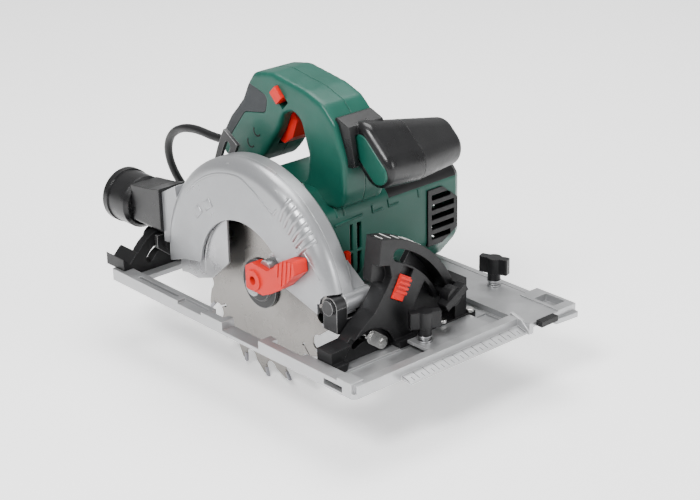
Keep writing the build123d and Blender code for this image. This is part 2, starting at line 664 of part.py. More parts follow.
LEVER_Y = (-28.5, -19.0)
with BuildPart() as guard_lever:
    rounded_prism(at_y(LEVER_Y[1]), LEVER_Y[1] - LEVER_Y[0], 2, (16, 34.5), (16, 53), (24, 58),
                  (42, 56), (52, 63), (64, 72), (77, 75), (78, 65), (60, 48), (46, 39), (36, 34.5))
    rounded_prism(at_y(LEVER_Y[0]), 3.5, 1.5, (54, 65), (64, 72), (77, 75), (78, 65), (62, 50))
    disc(8, (26, 44), LEVER_Y[0] - 1.5, LEVER_Y[0])
    disc(3.4, (26, 44), -40, LEVER_Y[1] - 3, mode=Mode.SUBTRACT)
    disc(5.5, STUB, -24, -10, mode=Mode.SUBTRACT)
    # grip ribs across the tip
    for rib in range(4):
        prism(at_y(LEVER_Y[0] - 2.6), 2, (57 + 4.6 * rib, 48), (58.6 + 4.6 * rib, 48),
              (62.6 + 4.6 * rib, 80), (61 + 4.6 * rib, 80), mode=Mode.SUBTRACT)
write(guard_lever, "guard_lever")

# ---- upper guard ----
ARBOR_AXIS = Axis((0, 0, ARBOR_Z), (0, 1, 0))
CHUTE_X = -108.0
SHOULDER_START = (GUARD_FACE_EDGE, GUARD_FACE_Y)
BELOW_REAR = ((-150, -90), (-150, 16), (-96, 20), (-76, 27), (-54, 31.5), (0, 31.5), (0, -90))
DEPTH_BOLT = polar(DEPTH_RADIUS, 185, PIVOT)
GUARD_SCREWS = tuple(polar(95.5, angle) for angle in (66, 100, 132, 160))

with BuildPart() as upper_guard_cover:
    with BuildSketch(Plane.XY.offset(ARBOR_Z)):
        with BuildLine():
            Polyline((GUARD_OUTER, GUARD_SEAM_Y), (GUARD_OUTER, GUARD_SEAM_Y - 3))
            ThreePointArc((GUARD_OUTER, GUARD_SEAM_Y - 3), (100, -14.6), SHOULDER_START)
            Polyline(SHOULDER_START, (WINDOW_RADIUS, GUARD_FACE_Y),
                     (WINDOW_RADIUS, GUARD_FACE_Y + GUARD_WALL),
                     (GUARD_FACE_EDGE - 1, GUARD_FACE_Y + GUARD_WALL))
            ThreePointArc((GUARD_FACE_EDGE - 1, GUARD_FACE_Y + GUARD_WALL), (98, -13.3),
                          (GUARD_OUTER - GUARD_WALL, GUARD_SEAM_Y - 3))
            Polyline((GUARD_OUTER - GUARD_WALL, GUARD_SEAM_Y - 3), (GUARD_OUTER - GUARD_WALL, GUARD_SEAM_Y),
                     (GUARD_OUTER, GUARD_SEAM_Y))
        make_face()
    revolve(axis=ARBOR_AXIS)
    prism(at_y(GUARD_FACE_Y + GUARD_WALL), GUARD_WALL, (43.5, 50), (50, 42), (62, 38), (62, 62), (47, 53))
    # outlet chute towards the dust port
    with BuildSketch(at_y(GUARD_SEAM_Y)):
        Polygon((CHUTE_X, 32), (CHUTE_X, 74), (-90, 84), (-80, 34), align=None)
        with Locations(ARBOR):
            Circle(GUARD_OUTER - GUARD_WALL, mode=Mode.SUBTRACT)
    extrude(amount=9)
    block((-120, -88), (-11, GUARD_SEAM_Y), (45, 66), mode=Mode.SUBTRACT)
    prism(at_y(50), 100, *BELOW_REAR, mode=Mode.SUBTRACT)
    prism(at_y(50), 100, (-1, -90), (-1, 50), (43.5, 50), (50, 42), (91, 31), (150, 31), (150, -90),
          mode=Mode.SUBTRACT)
    disc(PIVOT_EAR_RADIUS + 1.6, PIVOT, -30, 0, mode=Mode.SUBTRACT)
    block((86, 110), (-30, 0), (20, PIVOT[1]), mode=Mode.SUBTRACT)
    # bosses that the back half is screwed to
    for centre in GUARD_SCREWS:
        disc(4, centre, GUARD_FACE_Y + GUARD_WALL, 5.4)
        disc(1.5, centre, -10, 6, mode=Mode.SUBTRACT)
write(upper_guard_cover, "upper_guard_cover")

with BuildPart() as guard_housing:
    with BuildSketch(Plane.XY.offset(ARBOR_Z)):
        Polygon((GUARD_OUTER - GUARD_WALL, GUARD_SEAM_Y), (GUARD_OUTER, GUARD_SEAM_Y), (GUARD_OUTER, 5),
                (100, GUARD_BACK_Y), (12.5, GUARD_BACK_Y), (12.5, 5.5), (GUARD_OUTER - GUARD_WALL, 5.5),
                align=None)
    revolve(axis=ARBOR_AXIS)
    with BuildSketch(at_y(GUARD_BACK_Y - 1)):
        Polygon((CHUTE_X, 32), (CHUTE_X, 74), (-90, 84), (-80, 34), align=None)
        with Locations(ARBOR):
            Circle(GUARD_OUTER - GUARD_WALL, mode=Mode.SUBTRACT)
    extrude(amount=GUARD_BACK_Y - 1 - GUARD_SEAM_Y)
    block((-120, -88), (GUARD_SEAM_Y, 3), (45, 66), mode=Mode.SUBTRACT)
    prism(at_y(50), 100, (-150, -90), (-150, 16), (-96, 20), (-30, 24), (-24, 21), (-17, 7), (0, 1),
          (17, 7), (24, 21), (40, 24), (88, 12), (96, 24), (150, 24), (150, -90), mode=Mode.SUBTRACT)
    for centre in GUARD_SCREWS:
        disc(1.7, centre, 5, 9, mode=Mode.SUBTRACT)
    # clearance for the pivot bracket's near ear and block
    disc(PIVOT_EAR_RADIUS + 1, PIVOT, -20, EAR_NEAR[1] + 0.4, mode=Mode.SUBTRACT)
    block((86, 110), (-20, 20), (10, 33.2), mode=Mode.SUBTRACT)
    block((86, 110), (-20, EAR_NEAR[1] + 0.4), (10, PIVOT[1]), mode=Mode.SUBTRACT)
    # seat of the lower guard's return spring
    disc(27, ARBOR, 5.5, 7.5, mode=Mode.SUBTRACT)
    disc(23.5, ARBOR, 5.5, GUARD_BACK_Y)
    # collar that the lower guard turns on
    disc(HUB_RADIUS, ARBOR, 3.9, 5.5)
    disc(12.5, ARBOR, 3, 9, mode=Mode.SUBTRACT)
    # hinge lug of the depth pivot
    disc(PIVOT_EAR_RADIUS, PIVOT, LUG[0], LUG[1])
    prism(at_y(LUG[1]), LUG[1] - GUARD_BACK_Y + 0.5, (78, 35), (PIVOT[0], 35), (PIVOT[0], 48), (78, 62))
    disc(PIVOT_PIN_RADIUS + FIT, PIVOT, -30, 40, mode=Mode.SUBTRACT)
    # boss of the depth clamp
    disc(8, DEPTH_BOLT, GUARD_BACK_Y - 2.5, DEPTH_GUIDE_Y[0] - 0.3)
    disc(2.95, DEPTH_BOLT, 5, 20, mode=Mode.SUBTRACT)
write(guard_housing, "guard_housing")

with BuildPart() as depth_clamp_lever:
    disc(2.9, DEPTH_BOLT, 7, 17)
    disc(7, DEPTH_BOLT, DEPTH_GUIDE_Y[1] + 0.3, 24)
    prism(at_y(24), 6, polar(5, 60, DEPTH_BOLT), polar(5, 250, DEPTH_BOLT), polar(42, 150, DEPTH_BOLT),
          polar(42, 140, DEPTH_BOLT))
write(depth_clamp_lever, "depth_clamp_lever")

# ---- dust extraction ----
with BuildPart() as dust_adapter:
    prism(at_y(9), 26, (CHUTE_X - 0.2, 39.5), (CHUTE_X - 0.2, 77), (-122, 74), (-147, 71), (-147, 39.5))
    fillet(dust_adapter.edges().filter_by(Axis.X), 3)
    block((-150, -100), (-11, 6), (45, 66), mode=Mode.SUBTRACT)
    rod_x(12.6, SPOUT_CENTRE, -150, -142, mode=Mode.SUBTRACT)
    block((-142, -100), (-11, 6), (45, 66), mode=Mode.SUBTRACT)
write(dust_adapter, "dust_adapter")

with BuildPart() as dust_spout:
    rod_x(SPOUT_RADIUS, SPOUT_CENTRE, -178, -147.3)
    chamfer(dust_spout.edges().filter_by(GeomType.CIRCLE).group_by(Axis.X)[-1], 3)
    rod_x(SPOUT_RADIUS + 1, SPOUT_CENTRE, -178, -172)
    rod_x(SPOUT_RADIUS - 2.5, SPOUT_CENTRE, -180, -151, mode=Mode.SUBTRACT)
    rod_x(12.55, SPOUT_CENTRE, -148, -143)
    rod_x(10.5, SPOUT_CENTRE, -180, -140, mode=Mode.SUBTRACT)
write(dust_spout, "dust_spout")

# ---- motor and gear case ----
MOTOR_OUTLINE = ((28, 9), (48, 33), (48, 86), (30, 103), (-30, 103), (-48, 86), (-48, 33), (-28, 9))
MOTOR_CORNER = 11.0


def motor_profile(inset):
    """The motor housing's section, smaller by an inset."""
    with BuildSketch() as profile:
        Polygon(*MOTOR_OUTLINE, align=None)
        fillet(profile.vertices(), MOTOR_CORNER)
        if inset:
            offset(amount=-inset, kind=Kind.ARC, mode=Mode.REPLACE)
    return profile.sketch


def motor_body(inset, from_y, to_y, mode=Mode.ADD):
    """A length of the motor housing's section."""
    extrude(at_y(to_y) * motor_profile(inset), amount=to_y - from_y, mode=mode)


VENT_FRAME = ((131, 31), (131, 79), (147, 79), (164, 66), (164, 40), (147, 31))
PANEL_Y = (90.0, MOTOR_END_Y)
LOCK_Y = 45.0

with BuildPart() as gear_case:
    disc(24.4, ARBOR, GUARD_BACK_Y, 30.3)
    disc(36.5, SHAFT, GUARD_BACK_Y, 36)
    disc(22.4, ARBOR, 18.6, 26.9, mode=Mode.SUBTRACT)
    disc(8, SHAFT, 18.6, 36.5, mode=Mode.SUBTRACT)
    disc(13, SHAFT, 29.5, 36.5, mode=Mode.SUBTRACT)
    disc(3.2, SHAFT, 15.8, 19, mode=Mode.SUBTRACT)
    disc(13, ARBOR, 9, 18.7, mode=Mode.SUBTRACT)
    disc(12, ARBOR, 7, 10, mode=Mode.SUBTRACT)
    disc(6.5, ARBOR, 26.5, 31, mode=Mode.SUBTRACT)
    disc(8.2, ARBOR, 8, 27, mode=Mode.SUBTRACT)
write(gear_case, "gear_case")

with BuildPart() as bearings:
    for radius, bore, centre, near, far in (
        (13, 7.5, ARBOR, 9.2, 18),
        (6.5, 4.5, ARBOR, 27, 30),
        (13, 4, SHAFT, 29.6, 36.4),
        (11, 4, SHAFT, 148, 157),
    ):
        disc(radius, centre, near, far)
        disc(bore + FIT, centre, near - 1, far + 1, mode=Mode.SUBTRACT)
write(bearings, "bearings")

with BuildPart() as motor_housing:
    motor_body(0, MOTOR_FRONT_Y, MOTOR_END_Y - 5)
    extrude(at_y(MOTOR_END_Y - 5) * motor_profile(0), amount=-5, taper=30)
    motor_body(MOTOR_WALL, MOTOR_FRONT_Y - 1, MOTOR_END_Y - 3.5, mode=Mode.SUBTRACT)
    # seat of the rear bearing
    disc(14, SHAFT, 147, MOTOR_END_Y - 3)
    disc(11, SHAFT, 140, 158, mode=Mode.SUBTRACT)
    # clearance for the gear case's lower bulge
    disc(24.8, ARBOR, 0, 31, mode=Mode.SUBTRACT)
    # slots over the fan, on the front flank
    for slot_y, width in ((50.5, 3), (58.5, 4.5)):
        block((40, 60), (slot_y - width / 2, slot_y + width / 2), (28, 49), mode=Mode.SUBTRACT)
        block((40, 60), (slot_y - width / 2, slot_y + width / 2), (51, 73), mode=Mode.SUBTRACT)
    # seats of the vent frame, the top panel and the spindle lock
    prism(at_x(40), 20, *VENT_FRAME, mode=Mode.SUBTRACT)
    block((-52, 52), PANEL_Y, (84, 110), mode=Mode.SUBTRACT)
    block((40, 60), (LOCK_Y - 3.7, LOCK_Y + 1.7), (38, 53), mode=Mode.SUBTRACT)
    # slots in the end wall
    for slot_z in range(5):
        block((-22, 22), (160, 175), (20 + 7 * slot_z, 23 + 7 * slot_z), mode=Mode.SUBTRACT)
    disc(14, SHAFT, 157, MOTOR_END_Y - 3)
write(motor_housing, "motor_housing")

with BuildPart() as motor_top_panel:
    motor_body(0, PANEL_Y[0], MOTOR_END_Y - 5)
    extrude(at_y(MOTOR_END_Y - 5) * motor_profile(0), amount=-5, taper=30)
    motor_body(MOTOR_WALL, 80, MOTOR_END_Y - 3.5, mode=Mode.SUBTRACT)
    block((-60, 60), (80, 180), (0, 84), mode=Mode.SUBTRACT)
write(motor_top_panel, "motor_top_panel")

with BuildPart() as vent_frame:
    prism(at_x(45.2), 4.2, *VENT_FRAME)
    for slat in range(5):
        low = 36 + 8.4 * slat
        inset = 4 if slat in (0, 4) else 0
        block((40, 55), (135, 160 - inset), (low, low + 4.6), mode=Mode.SUBTRACT)
write(vent_frame, "vent_frame")

with BuildPart() as spindle_lock_button:
    block((44, 51.5), (LOCK_Y - 3.4, LOCK_Y + 1.4), (38.4, 52.6))
    block((20, 44), (LOCK_Y - 2, LOCK_Y), (47, 51))
    block((41, 44), (LOCK_Y - 5.5, LOCK_Y + 3.4), (36.5, 54.5))
write(spindle_lock_button, "spindle_lock_button")

with BuildPart() as stator:
    disc(36, SHAFT, 72, 116)
    disc(22.5, SHAFT, 70, 120, mode=Mode.SUBTRACT)
    for side in (-1, 1):
        block((side * 29 - 5, side * 29 + 5), (70, 120), (SHAFT[1] - 13, SHAFT[1] + 13), mode=Mode.SUBTRACT)
write(stator, "stator")

with BuildPart() as field_coils:
    for side in (-1, 1):
        rounded_prism(Plane.XY.offset(SHAFT[1] - 12), 24, 2, (side * 25, 67), (side * 33, 67),
                      (side * 33, 121), (side * 25, 121))
write(field_coils, "field_coils")

with BuildPart() as carbon_brushes:
    for side in (-1, 1):
        block((min(side * 12.2, side * 26), max(side * 12.2, side * 26)), (131, 138),
              (SHAFT[1] - 4, SHAFT[1] + 4))
        block((min(side * 16, side * 33), max(side * 16, side * 33)), (129.5, 139.5),
              (SHAFT[1] - 6, SHAFT[1] - 4))
write(carbon_brushes, "carbon_brushes")

# ---- main handle ----
HANDLE_OUTLINE = (
    (58, 92), (62, 106), (62, 132), (52, 158), (38, 171), (20, 177), (-20, 183), (-42, 179),
    (-50, 168), (-57, 154), (-73, 137), (-88, 115), (-85, 103), (-68, 98), (-42, 104), (-34, 112),
    (-14, 138), (-8, 152), (4, 158), (13, 152), (21, 128), (19, 108), (10, 101), (30, 90),
)
LOCK_OFF = (-12.0, 167.5)
LOCK_OFF_TRAVEL = 5.0
SLIDE = (cos(radians(-45)), sin(radians(-45)))
TRIGGER_PIVOT = (-12.0, 153.0)
TRIGGER_PIN_RADIUS = 1.5
CORD_RADIUS = 3.6
GRIP_REGION = ((-64, 172), (-44, 168), (-25, 163), (-28, 149),
               (-54, 144), (-74, 119), (-96, 111), (-110, 118), (-110, 172))


def handle_profile(inset):
    """The handle's side outline, smaller by an inset."""
    with BuildSketch() as profile:
        Polygon(*HANDLE_OUTLINE, align=None)
        fillet(profile.vertices(), 4)
        if inset:
            offset(amount=-inset, kind=Kind.ARC, mode=Mode.REPLACE)
    return profile.sketch


def half_handle():
    """The near half of the handle's outer shape."""
    shoulder = HANDLE_NEAR_Y + HANDLE_SHOULDER
    extrude(at_y(HANDLE_SEAM_Y) * handle_profile(0), amount=HANDLE_SEAM_Y - shoulder)
    for step in range(HANDLE_STEPS):
        share = (step + 1) / HANDLE_STEPS
        inset = HANDLE_SHOULDER * (1 - sqrt(1 - share**2) + 0.02)
        extrude(at_y(shoulder) * handle_profile(inset * 0.8), amount=HANDLE_SHOULDER * share)


with BuildPart() as grip_core:
    shoulder = HANDLE_NEAR_Y + HANDLE_SHOULDER
    extrude(at_y(HANDLE_SEAM_Y) * handle_profile(GRIP_PAD_THICKNESS), amount=HANDLE_SEAM_Y - shoulder)
    extrude(at_y(shoulder) * handle_profile(HANDLE_SHOULDER), amount=HANDLE_SHOULDER - GRIP_PAD_THICKNESS)

with BuildPart() as grip_zone:
    prism(at_y(HANDLE_SEAM_Y), 40, *GRIP_REGION)
    add(grip_core.part, mode=Mode.SUBTRACT)

with BuildPart() as grip_half:
    half_handle()
    add(grip_zone.part, mode=Mode.INTERSECT)

with BuildPart() as grip_pad:
    add(grip_half.part)
    mirror(about=at_y(HANDLE_SEAM_Y))
write(grip_pad, "grip_pad")

with BuildPart() as handle_shell_near:
    half_handle()
    extrude(at_y(HANDLE_SEAM_Y) * handle_profile(HANDLE_WALL),
            amount=HANDLE_SEAM_Y - HANDLE_NEAR_Y - HANDLE_SHOULDER, mode=Mode.SUBTRACT)
    motor_body(0, 20, 100, mode=Mode.SUBTRACT)
    add(grip_zone.part, mode=Mode.SUBTRACT)
    # opening for the trigger
    prism(at_y(HANDLE_SEAM_Y), 11.5, (-18, 158), (-2, 156), (-4, 136), (-20, 120), (-40, 124), (-30, 150),
          mode=Mode.SUBTRACT)
    # slot of the lock-off button
    with BuildSketch(at_y(HANDLE_SEAM_Y)):
        with Locations((LOCK_OFF[0] + SLIDE[0] * LOCK_OFF_TRAVEL / 2,
                        LOCK_OFF[1] + SLIDE[1] * LOCK_OFF_TRAVEL / 2)):
            Rectangle(11 + LOCK_OFF_TRAVEL + 0.8, 9.8, rotation=-45)
    extrude(amount=40, mode=Mode.SUBTRACT)
    # cord entry at the grip's lower end
    rod_x(8.8, (HANDLE_SEAM_Y, 103.5), -100, -76, mode=Mode.SUBTRACT)
write(handle_shell_near, "handle_shell_near")

HANDLE_SCREWS = ((-56, 124), (16, 167), (42, 132))
with BuildPart() as handle_shell_far:
    add(mirror(handle_shell_near.part, about=at_y(HANDLE_SEAM_Y)))
    for centre in HANDLE_SCREWS:
        disc(4, centre, HANDLE_FAR_Y - 2.4, HANDLE_FAR_Y, mode=Mode.SUBTRACT)
        disc(4.6, centre, HANDLE_SEAM_Y, HANDLE_FAR_Y - 2.4)
        disc(1.8, centre, HANDLE_SEAM_Y, HANDLE_FAR_Y, mode=Mode.SUBTRACT)
write(handle_shell_far, "handle_shell_far")

with BuildPart() as trigger:
    rounded_prism(at_y(HANDLE_SEAM_Y + 10.5), 21, 1.5, (-17, 156), (-8, 156), (-3, 146), (-9, 131),
                  (-19, 124), (-31, 127), (-25, 142))
    disc(TRIGGER_PIN_RADIUS + FIT, TRIGGER_PIVOT, 40, 66, mode=Mode.SUBTRACT)
write(trigger, "trigger")

with BuildPart() as lock_off_button:
    with BuildSketch(at_y(HANDLE_FAR_Y + 3)):
        with Locations(LOCK_OFF):
            Rectangle(11, 9, rotation=-45)
    extrude(amount=HANDLE_FAR_Y - HANDLE_NEAR_Y + 6)
write(lock_off_button, "lock_off_button")

with BuildPart() as switch_body:
    block((-44, -25), (HANDLE_SEAM_Y - 9, HANDLE_SEAM_Y + 9), (147.5, 167))
    block((-25, -20), (HANDLE_SEAM_Y - 4, HANDLE_SEAM_Y + 4), (161, 167))
    # the trigger's pin
    disc(TRIGGER_PIN_RADIUS, TRIGGER_PIVOT, HANDLE_SEAM_Y - 11.2, HANDLE_SEAM_Y + 11.2)
write(switch_body, "switch_body")

# ---- front handle ----
AUX_TURN = -42.0


def aux_section(y, centre, length, width):
    """One slanted capsule section of the front handle."""
    with BuildSketch(at_y(y)) as profile:
        with Locations(centre):
            SlotOverall(length, width, rotation=AUX_TURN)
    return profile.sketch


with BuildPart() as front_grip_base:
    loft([aux_section(44, (74, 137.5), 56, 32).face(), aux_section(84, (72, 131), 51, 33).face()])
    fillet(front_grip_base.edges().group_by(Axis.Y)[0], 6)
    # saddle on the main handle's leg
    rounded_prism(at_y(70), 34, 2, (48, 164), (64, 158), (70, 128), (56, 126))
    extrude(at_y(HANDLE_FAR_Y + 10) * handle_profile(-0.05), amount=60, mode=Mode.SUBTRACT)
    # pocket of the end cap
    extrude(aux_section(45.5, (77, 134.5), 43, 18.6), amount=5, mode=Mode.SUBTRACT)
write(front_grip_base, "front_grip_base")

with BuildPart() as front_grip_shell:
    loft([aux_section(84.3, (72, 131), 51, 33).face(), aux_section(136, (66, 125), 38, 30).face()])
    fillet(front_grip_shell.edges().group_by(Axis.Y)[-1], 8)
write(front_grip_shell, "front_grip_shell")

with BuildPart() as front_grip_cap:
    extrude(aux_section(45.5, (77, 134.5), 43, 18.6), amount=2.2)
    fillet(front_grip_cap.edges().group_by(Axis.Y)[0], 1)
write(front_grip_cap, "front_grip_cap")

# ---- small fittings of the head ----
with BuildPart() as guard_screws:
    for centre in GUARD_SCREWS:
        disc(1.5, centre, -9, GUARD_BACK_Y)
        disc(3.3, centre, GUARD_BACK_Y, GUARD_BACK_Y + 2.4)
write(guard_screws, "guard_screws")

with BuildPart() as handle_screws:
    for centre in HANDLE_SCREWS:
        disc(3.4, centre, HANDLE_FAR_Y - 2.4, HANDLE_FAR_Y - 0.4)
        disc(1.6, centre, HANDLE_SEAM_Y, HANDLE_FAR_Y - 2.4)
write(handle_screws, "handle_screws")

# one open turn of wire, with a hooked end
with BuildPart() as guard_spring:
    with BuildSketch(at_y(6.8)) as wire:
        ring_sector(25.1, 26, 20, 335)
        Polygon(polar(25.1, 20), polar(26, 20), polar(24.6, 26), polar(23.9, 24), align=None)
    extrude(wire.sketch, amount=0.9)
write(guard_spring, "guard_spring")

# ---- mains cord ----
FLOOR_Z = -CUT_DEPTH
CORD_LIE_Z = FLOOR_Z + CORD_RADIUS
COIL_CENTRE = (-185.0, 265.0)
COIL_RADIUS = 45.0
COIL_WIDTH = 29.0
COIL_HEIGHT = 29.0
COIL_END_Y = COIL_CENTRE[1] - 31
COIL_SIDE = 55.8
CORD_ROUTE = [
    (-100, 53, 102.5),
    (-122, 53, 100.5),
    (-148, 53, 102),
    (-172, 54, 97),
    (-191, 56, 85),
    (-201.5, 60, 66),
    (-201, 66, 45),
    (-195, 75, 25),
    (-190, 88, 4),
    (-190, 104, -17),
    (-193, 122, -34),
    (-199, 142, -46.5),
    (-208, 161, CORD_LIE_Z),
    (-222, 181, CORD_LIE_Z),
    (-235, 197, CORD_LIE_Z),
    (COIL_CENTRE[0] - COIL_SIDE, 216, CORD_LIE_Z),
    (COIL_CENTRE[0] - COIL_SIDE, COIL_END_Y, CORD_LIE_Z),
]
PLUG_RADIUS = 17.0
PLUG_Z = FLOOR_Z + PLUG_RADIUS
CORD_TAIL = [
    (COIL_CENTRE[0] + COIL_SIDE, COIL_END_Y, CORD_LIE_Z),
    (COIL_CENTRE[0] + COIL_SIDE, 213, CORD_LIE_Z),
    (-119.7, 194.3, -49.5),
    (-102.7, 182, -45),
    (-82, 178.7, -40.5),
    (-62.4, 182.9, PLUG_Z),
]
CORD_BEND = 0.45


def bend_radii(route):
    """The largest tangent arc at each inner point of a route."""
    radii = []
    for before, here, after in zip(route, route[1:], route[2:]):
        arriving = Vector(*here) - Vector(*before)
        leaving = Vector(*after) - Vector(*here)
        turn = radians(arriving.get_angle(leaving))
        radii.append(CORD_BEND * min(arriving.length, leaving.length) / tan(turn / 2))
    return radii


with BuildPart() as power_cord:
    for route in (CORD_ROUTE, CORD_TAIL):
        radii = bend_radii(route)
        print("bend radii", [round(radius) for radius in radii])
        with BuildLine() as path:
            FilletPolyline(*route, radius=radii)
        with BuildSketch(Plane(origin=path.line @ 0, z_dir=path.line % 0)) as section:
            Circle(CORD_RADIUS)
        sweep(section.sketch, path=path.line)
        length = sum(edge.length for edge in path.edges())
        print("length", round(length), "section times length", round(length * pi * CORD_RADIUS**2))
    print("volume of both tubes", round(power_cord.part.volume))
write(power_cord, "power_cord")

with BuildPart() as cord_coil:
    with BuildSketch(Plane.XZ):
        with Locations((COIL_RADIUS, FLOOR_Z + COIL_HEIGHT / 2)):
            RectangleRounded(COIL_WIDTH, COIL_HEIGHT, 6)
    revolve(axis=Axis.Z)
with BuildPart() as coil_in_place:
    add(Pos(*COIL_CENTRE, 0) * cord_coil.part)
    for side in (-1, 1):
        with BuildSketch(at_y(COIL_CENTRE[1])):
            with Locations((COIL_CENTRE[0] + side * COIL_SIDE, CORD_LIE_Z)):
                Circle(CORD_RADIUS)
        extrude(amount=COIL_CENTRE[1] - COIL_END_Y)
write(coil_in_place, "cord_coil")

plug_start = Vector(*CORD_TAIL[-1])
plug_way = (plug_start - Vector(*CORD_TAIL[-2])).normalized()
PLUG_PLANE = Plane(origin=plug_start, x_dir=Vector(0, 0, 1), z_dir=plug_way)
with BuildPart() as plug_body:
    with BuildSketch(PLUG_PLANE):
        Circle(5)
    extrude(amount=16, taper=-12)
    with BuildSketch(PLUG_PLANE.offset(16)):
        Circle(PLUG_RADIUS)
    extrude(amount=26)
    chamfer(plug_body.edges().filter_by(GeomType.CIRCLE).sort_by(SortBy.RADIUS)[-2:], 2)
write(plug_body, "plug_body")

with BuildPart() as plug_pins:
    with BuildSketch(PLUG_PLANE.offset(42)):
        with Locations((0, 9.5), (0, -9.5)):
            Circle(2.4)
    extrude(amount=19)
    plug_axis = Axis(tuple(plug_start), tuple(plug_way))
    fillet(plug_pins.edges().filter_by(GeomType.CIRCLE).group_by(plug_axis)[-1], 1)
write(plug_pins, "plug_pins")

with BuildPart() as cord_guard:
    guard_way = (Vector(*CORD_ROUTE[0]) - Vector(*CORD_ROUTE[1])).normalized()
    with BuildSketch(Plane(origin=CORD_ROUTE[0], z_dir=guard_way)):
        Circle(5)
    extrude(amount=22, taper=-8)
write(cord_guard, "cord_guard")
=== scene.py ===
"""Looks of the corded guide-rail circular saw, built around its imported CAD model.

Everything is in metres, in the CAD's own frame: +X is the cutting direction, +Y points from
the blade to the motor, +Z is up, and the origin is on the sole under the arbor.
"""

from math import cos, hypot, pi, radians, sin, tan

import bmesh
import bpy
from mathutils import Matrix, Vector
from mathutils.bvhtree import BVHTree


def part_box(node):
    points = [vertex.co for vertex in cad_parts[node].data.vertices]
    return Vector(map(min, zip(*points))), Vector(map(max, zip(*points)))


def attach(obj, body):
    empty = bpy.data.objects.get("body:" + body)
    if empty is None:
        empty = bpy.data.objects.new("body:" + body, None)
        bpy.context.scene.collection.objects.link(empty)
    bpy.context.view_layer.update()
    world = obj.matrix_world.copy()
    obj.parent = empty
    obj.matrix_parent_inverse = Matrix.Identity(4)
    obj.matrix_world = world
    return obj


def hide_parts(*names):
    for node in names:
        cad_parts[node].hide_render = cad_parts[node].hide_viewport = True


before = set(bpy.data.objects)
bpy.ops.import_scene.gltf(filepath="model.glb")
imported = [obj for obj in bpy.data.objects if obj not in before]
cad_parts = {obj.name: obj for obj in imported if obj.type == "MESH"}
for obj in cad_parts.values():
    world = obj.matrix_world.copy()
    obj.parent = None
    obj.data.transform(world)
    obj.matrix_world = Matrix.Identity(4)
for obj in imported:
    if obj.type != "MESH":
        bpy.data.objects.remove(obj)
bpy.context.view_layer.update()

MM = 0.001
ARBOR = (0.0, 0.025)
FLOOR_Z = -0.055
HEAD = "saw_head"


# ---- camera, light and floor ----
CAMERA_PLACE = (0.97486, -0.76806, 0.57330)
CAMERA_TURN, CAMERA_DROP, CAMERA_ROLL = 48.61, 22.86, -1.11
LENS, SENSOR = 89.81, 36
WORLD_STRENGTH = 0.56
# name, place, target, size, power
LIGHTS = (
    ("key", (0.5, -1.2, 1.5), (0, 0, 0.05), 0.6, 52),
    ("top", (-0.3, 0.5, 1.7), (0, 0.05, 0.05), 1.2, 40),
    ("side", (1.7, 0.6, 0.6), (0.05, 0.1, 0.08), 0.6, 14),
)
FLOOR_SIZE = 4
FLOOR_GLOW = 0.5


def make_camera():
    """A long-lens camera that looks down on the blade side from ahead."""
    turn, drop, roll = radians(CAMERA_TURN), radians(CAMERA_DROP), radians(CAMERA_ROLL)
    ahead = Vector((-sin(turn) * cos(drop), cos(turn) * cos(drop), -sin(drop)))
    level = Vector((cos(turn), sin(turn), 0))
    above = level.cross(ahead)
    right = level * cos(roll) + above * sin(roll)
    up = above * cos(roll) - level * sin(roll)
    data = bpy.data.cameras.new("camera")
    data.lens = LENS
    data.sensor_width = SENSOR
    camera = bpy.data.objects.new("camera", data)
    rotation = Matrix((right, up, -ahead)).transposed().to_4x4()
    camera.matrix_world = Matrix.Translation(CAMERA_PLACE) @ rotation
    bpy.context.scene.collection.objects.link(camera)
    bpy.context.scene.camera = camera


def make_light(name, place, target, size, power):
    """A square soft box that looks at a target."""
    data = bpy.data.lights.new(name, "AREA")
    data.shape = "SQUARE"
    data.size = size
    data.energy = power
    light = bpy.data.objects.new(name, data)
    light.location = place
    aim = Vector(target) - Vector(place)
    light.rotation_euler = aim.to_track_quat("-Z", "Y").to_euler()
    bpy.context.scene.collection.objects.link(light)


def make_world(strength):
    """An even pale surround."""
    world = bpy.data.worlds.new("studio")
    world.use_nodes = True
    world.node_tree.nodes["Background"].inputs["Color"].default_value = (1, 1, 1, 1)
    world.node_tree.nodes["Background"].inputs["Strength"].default_value = strength
    bpy.context.scene.world = world


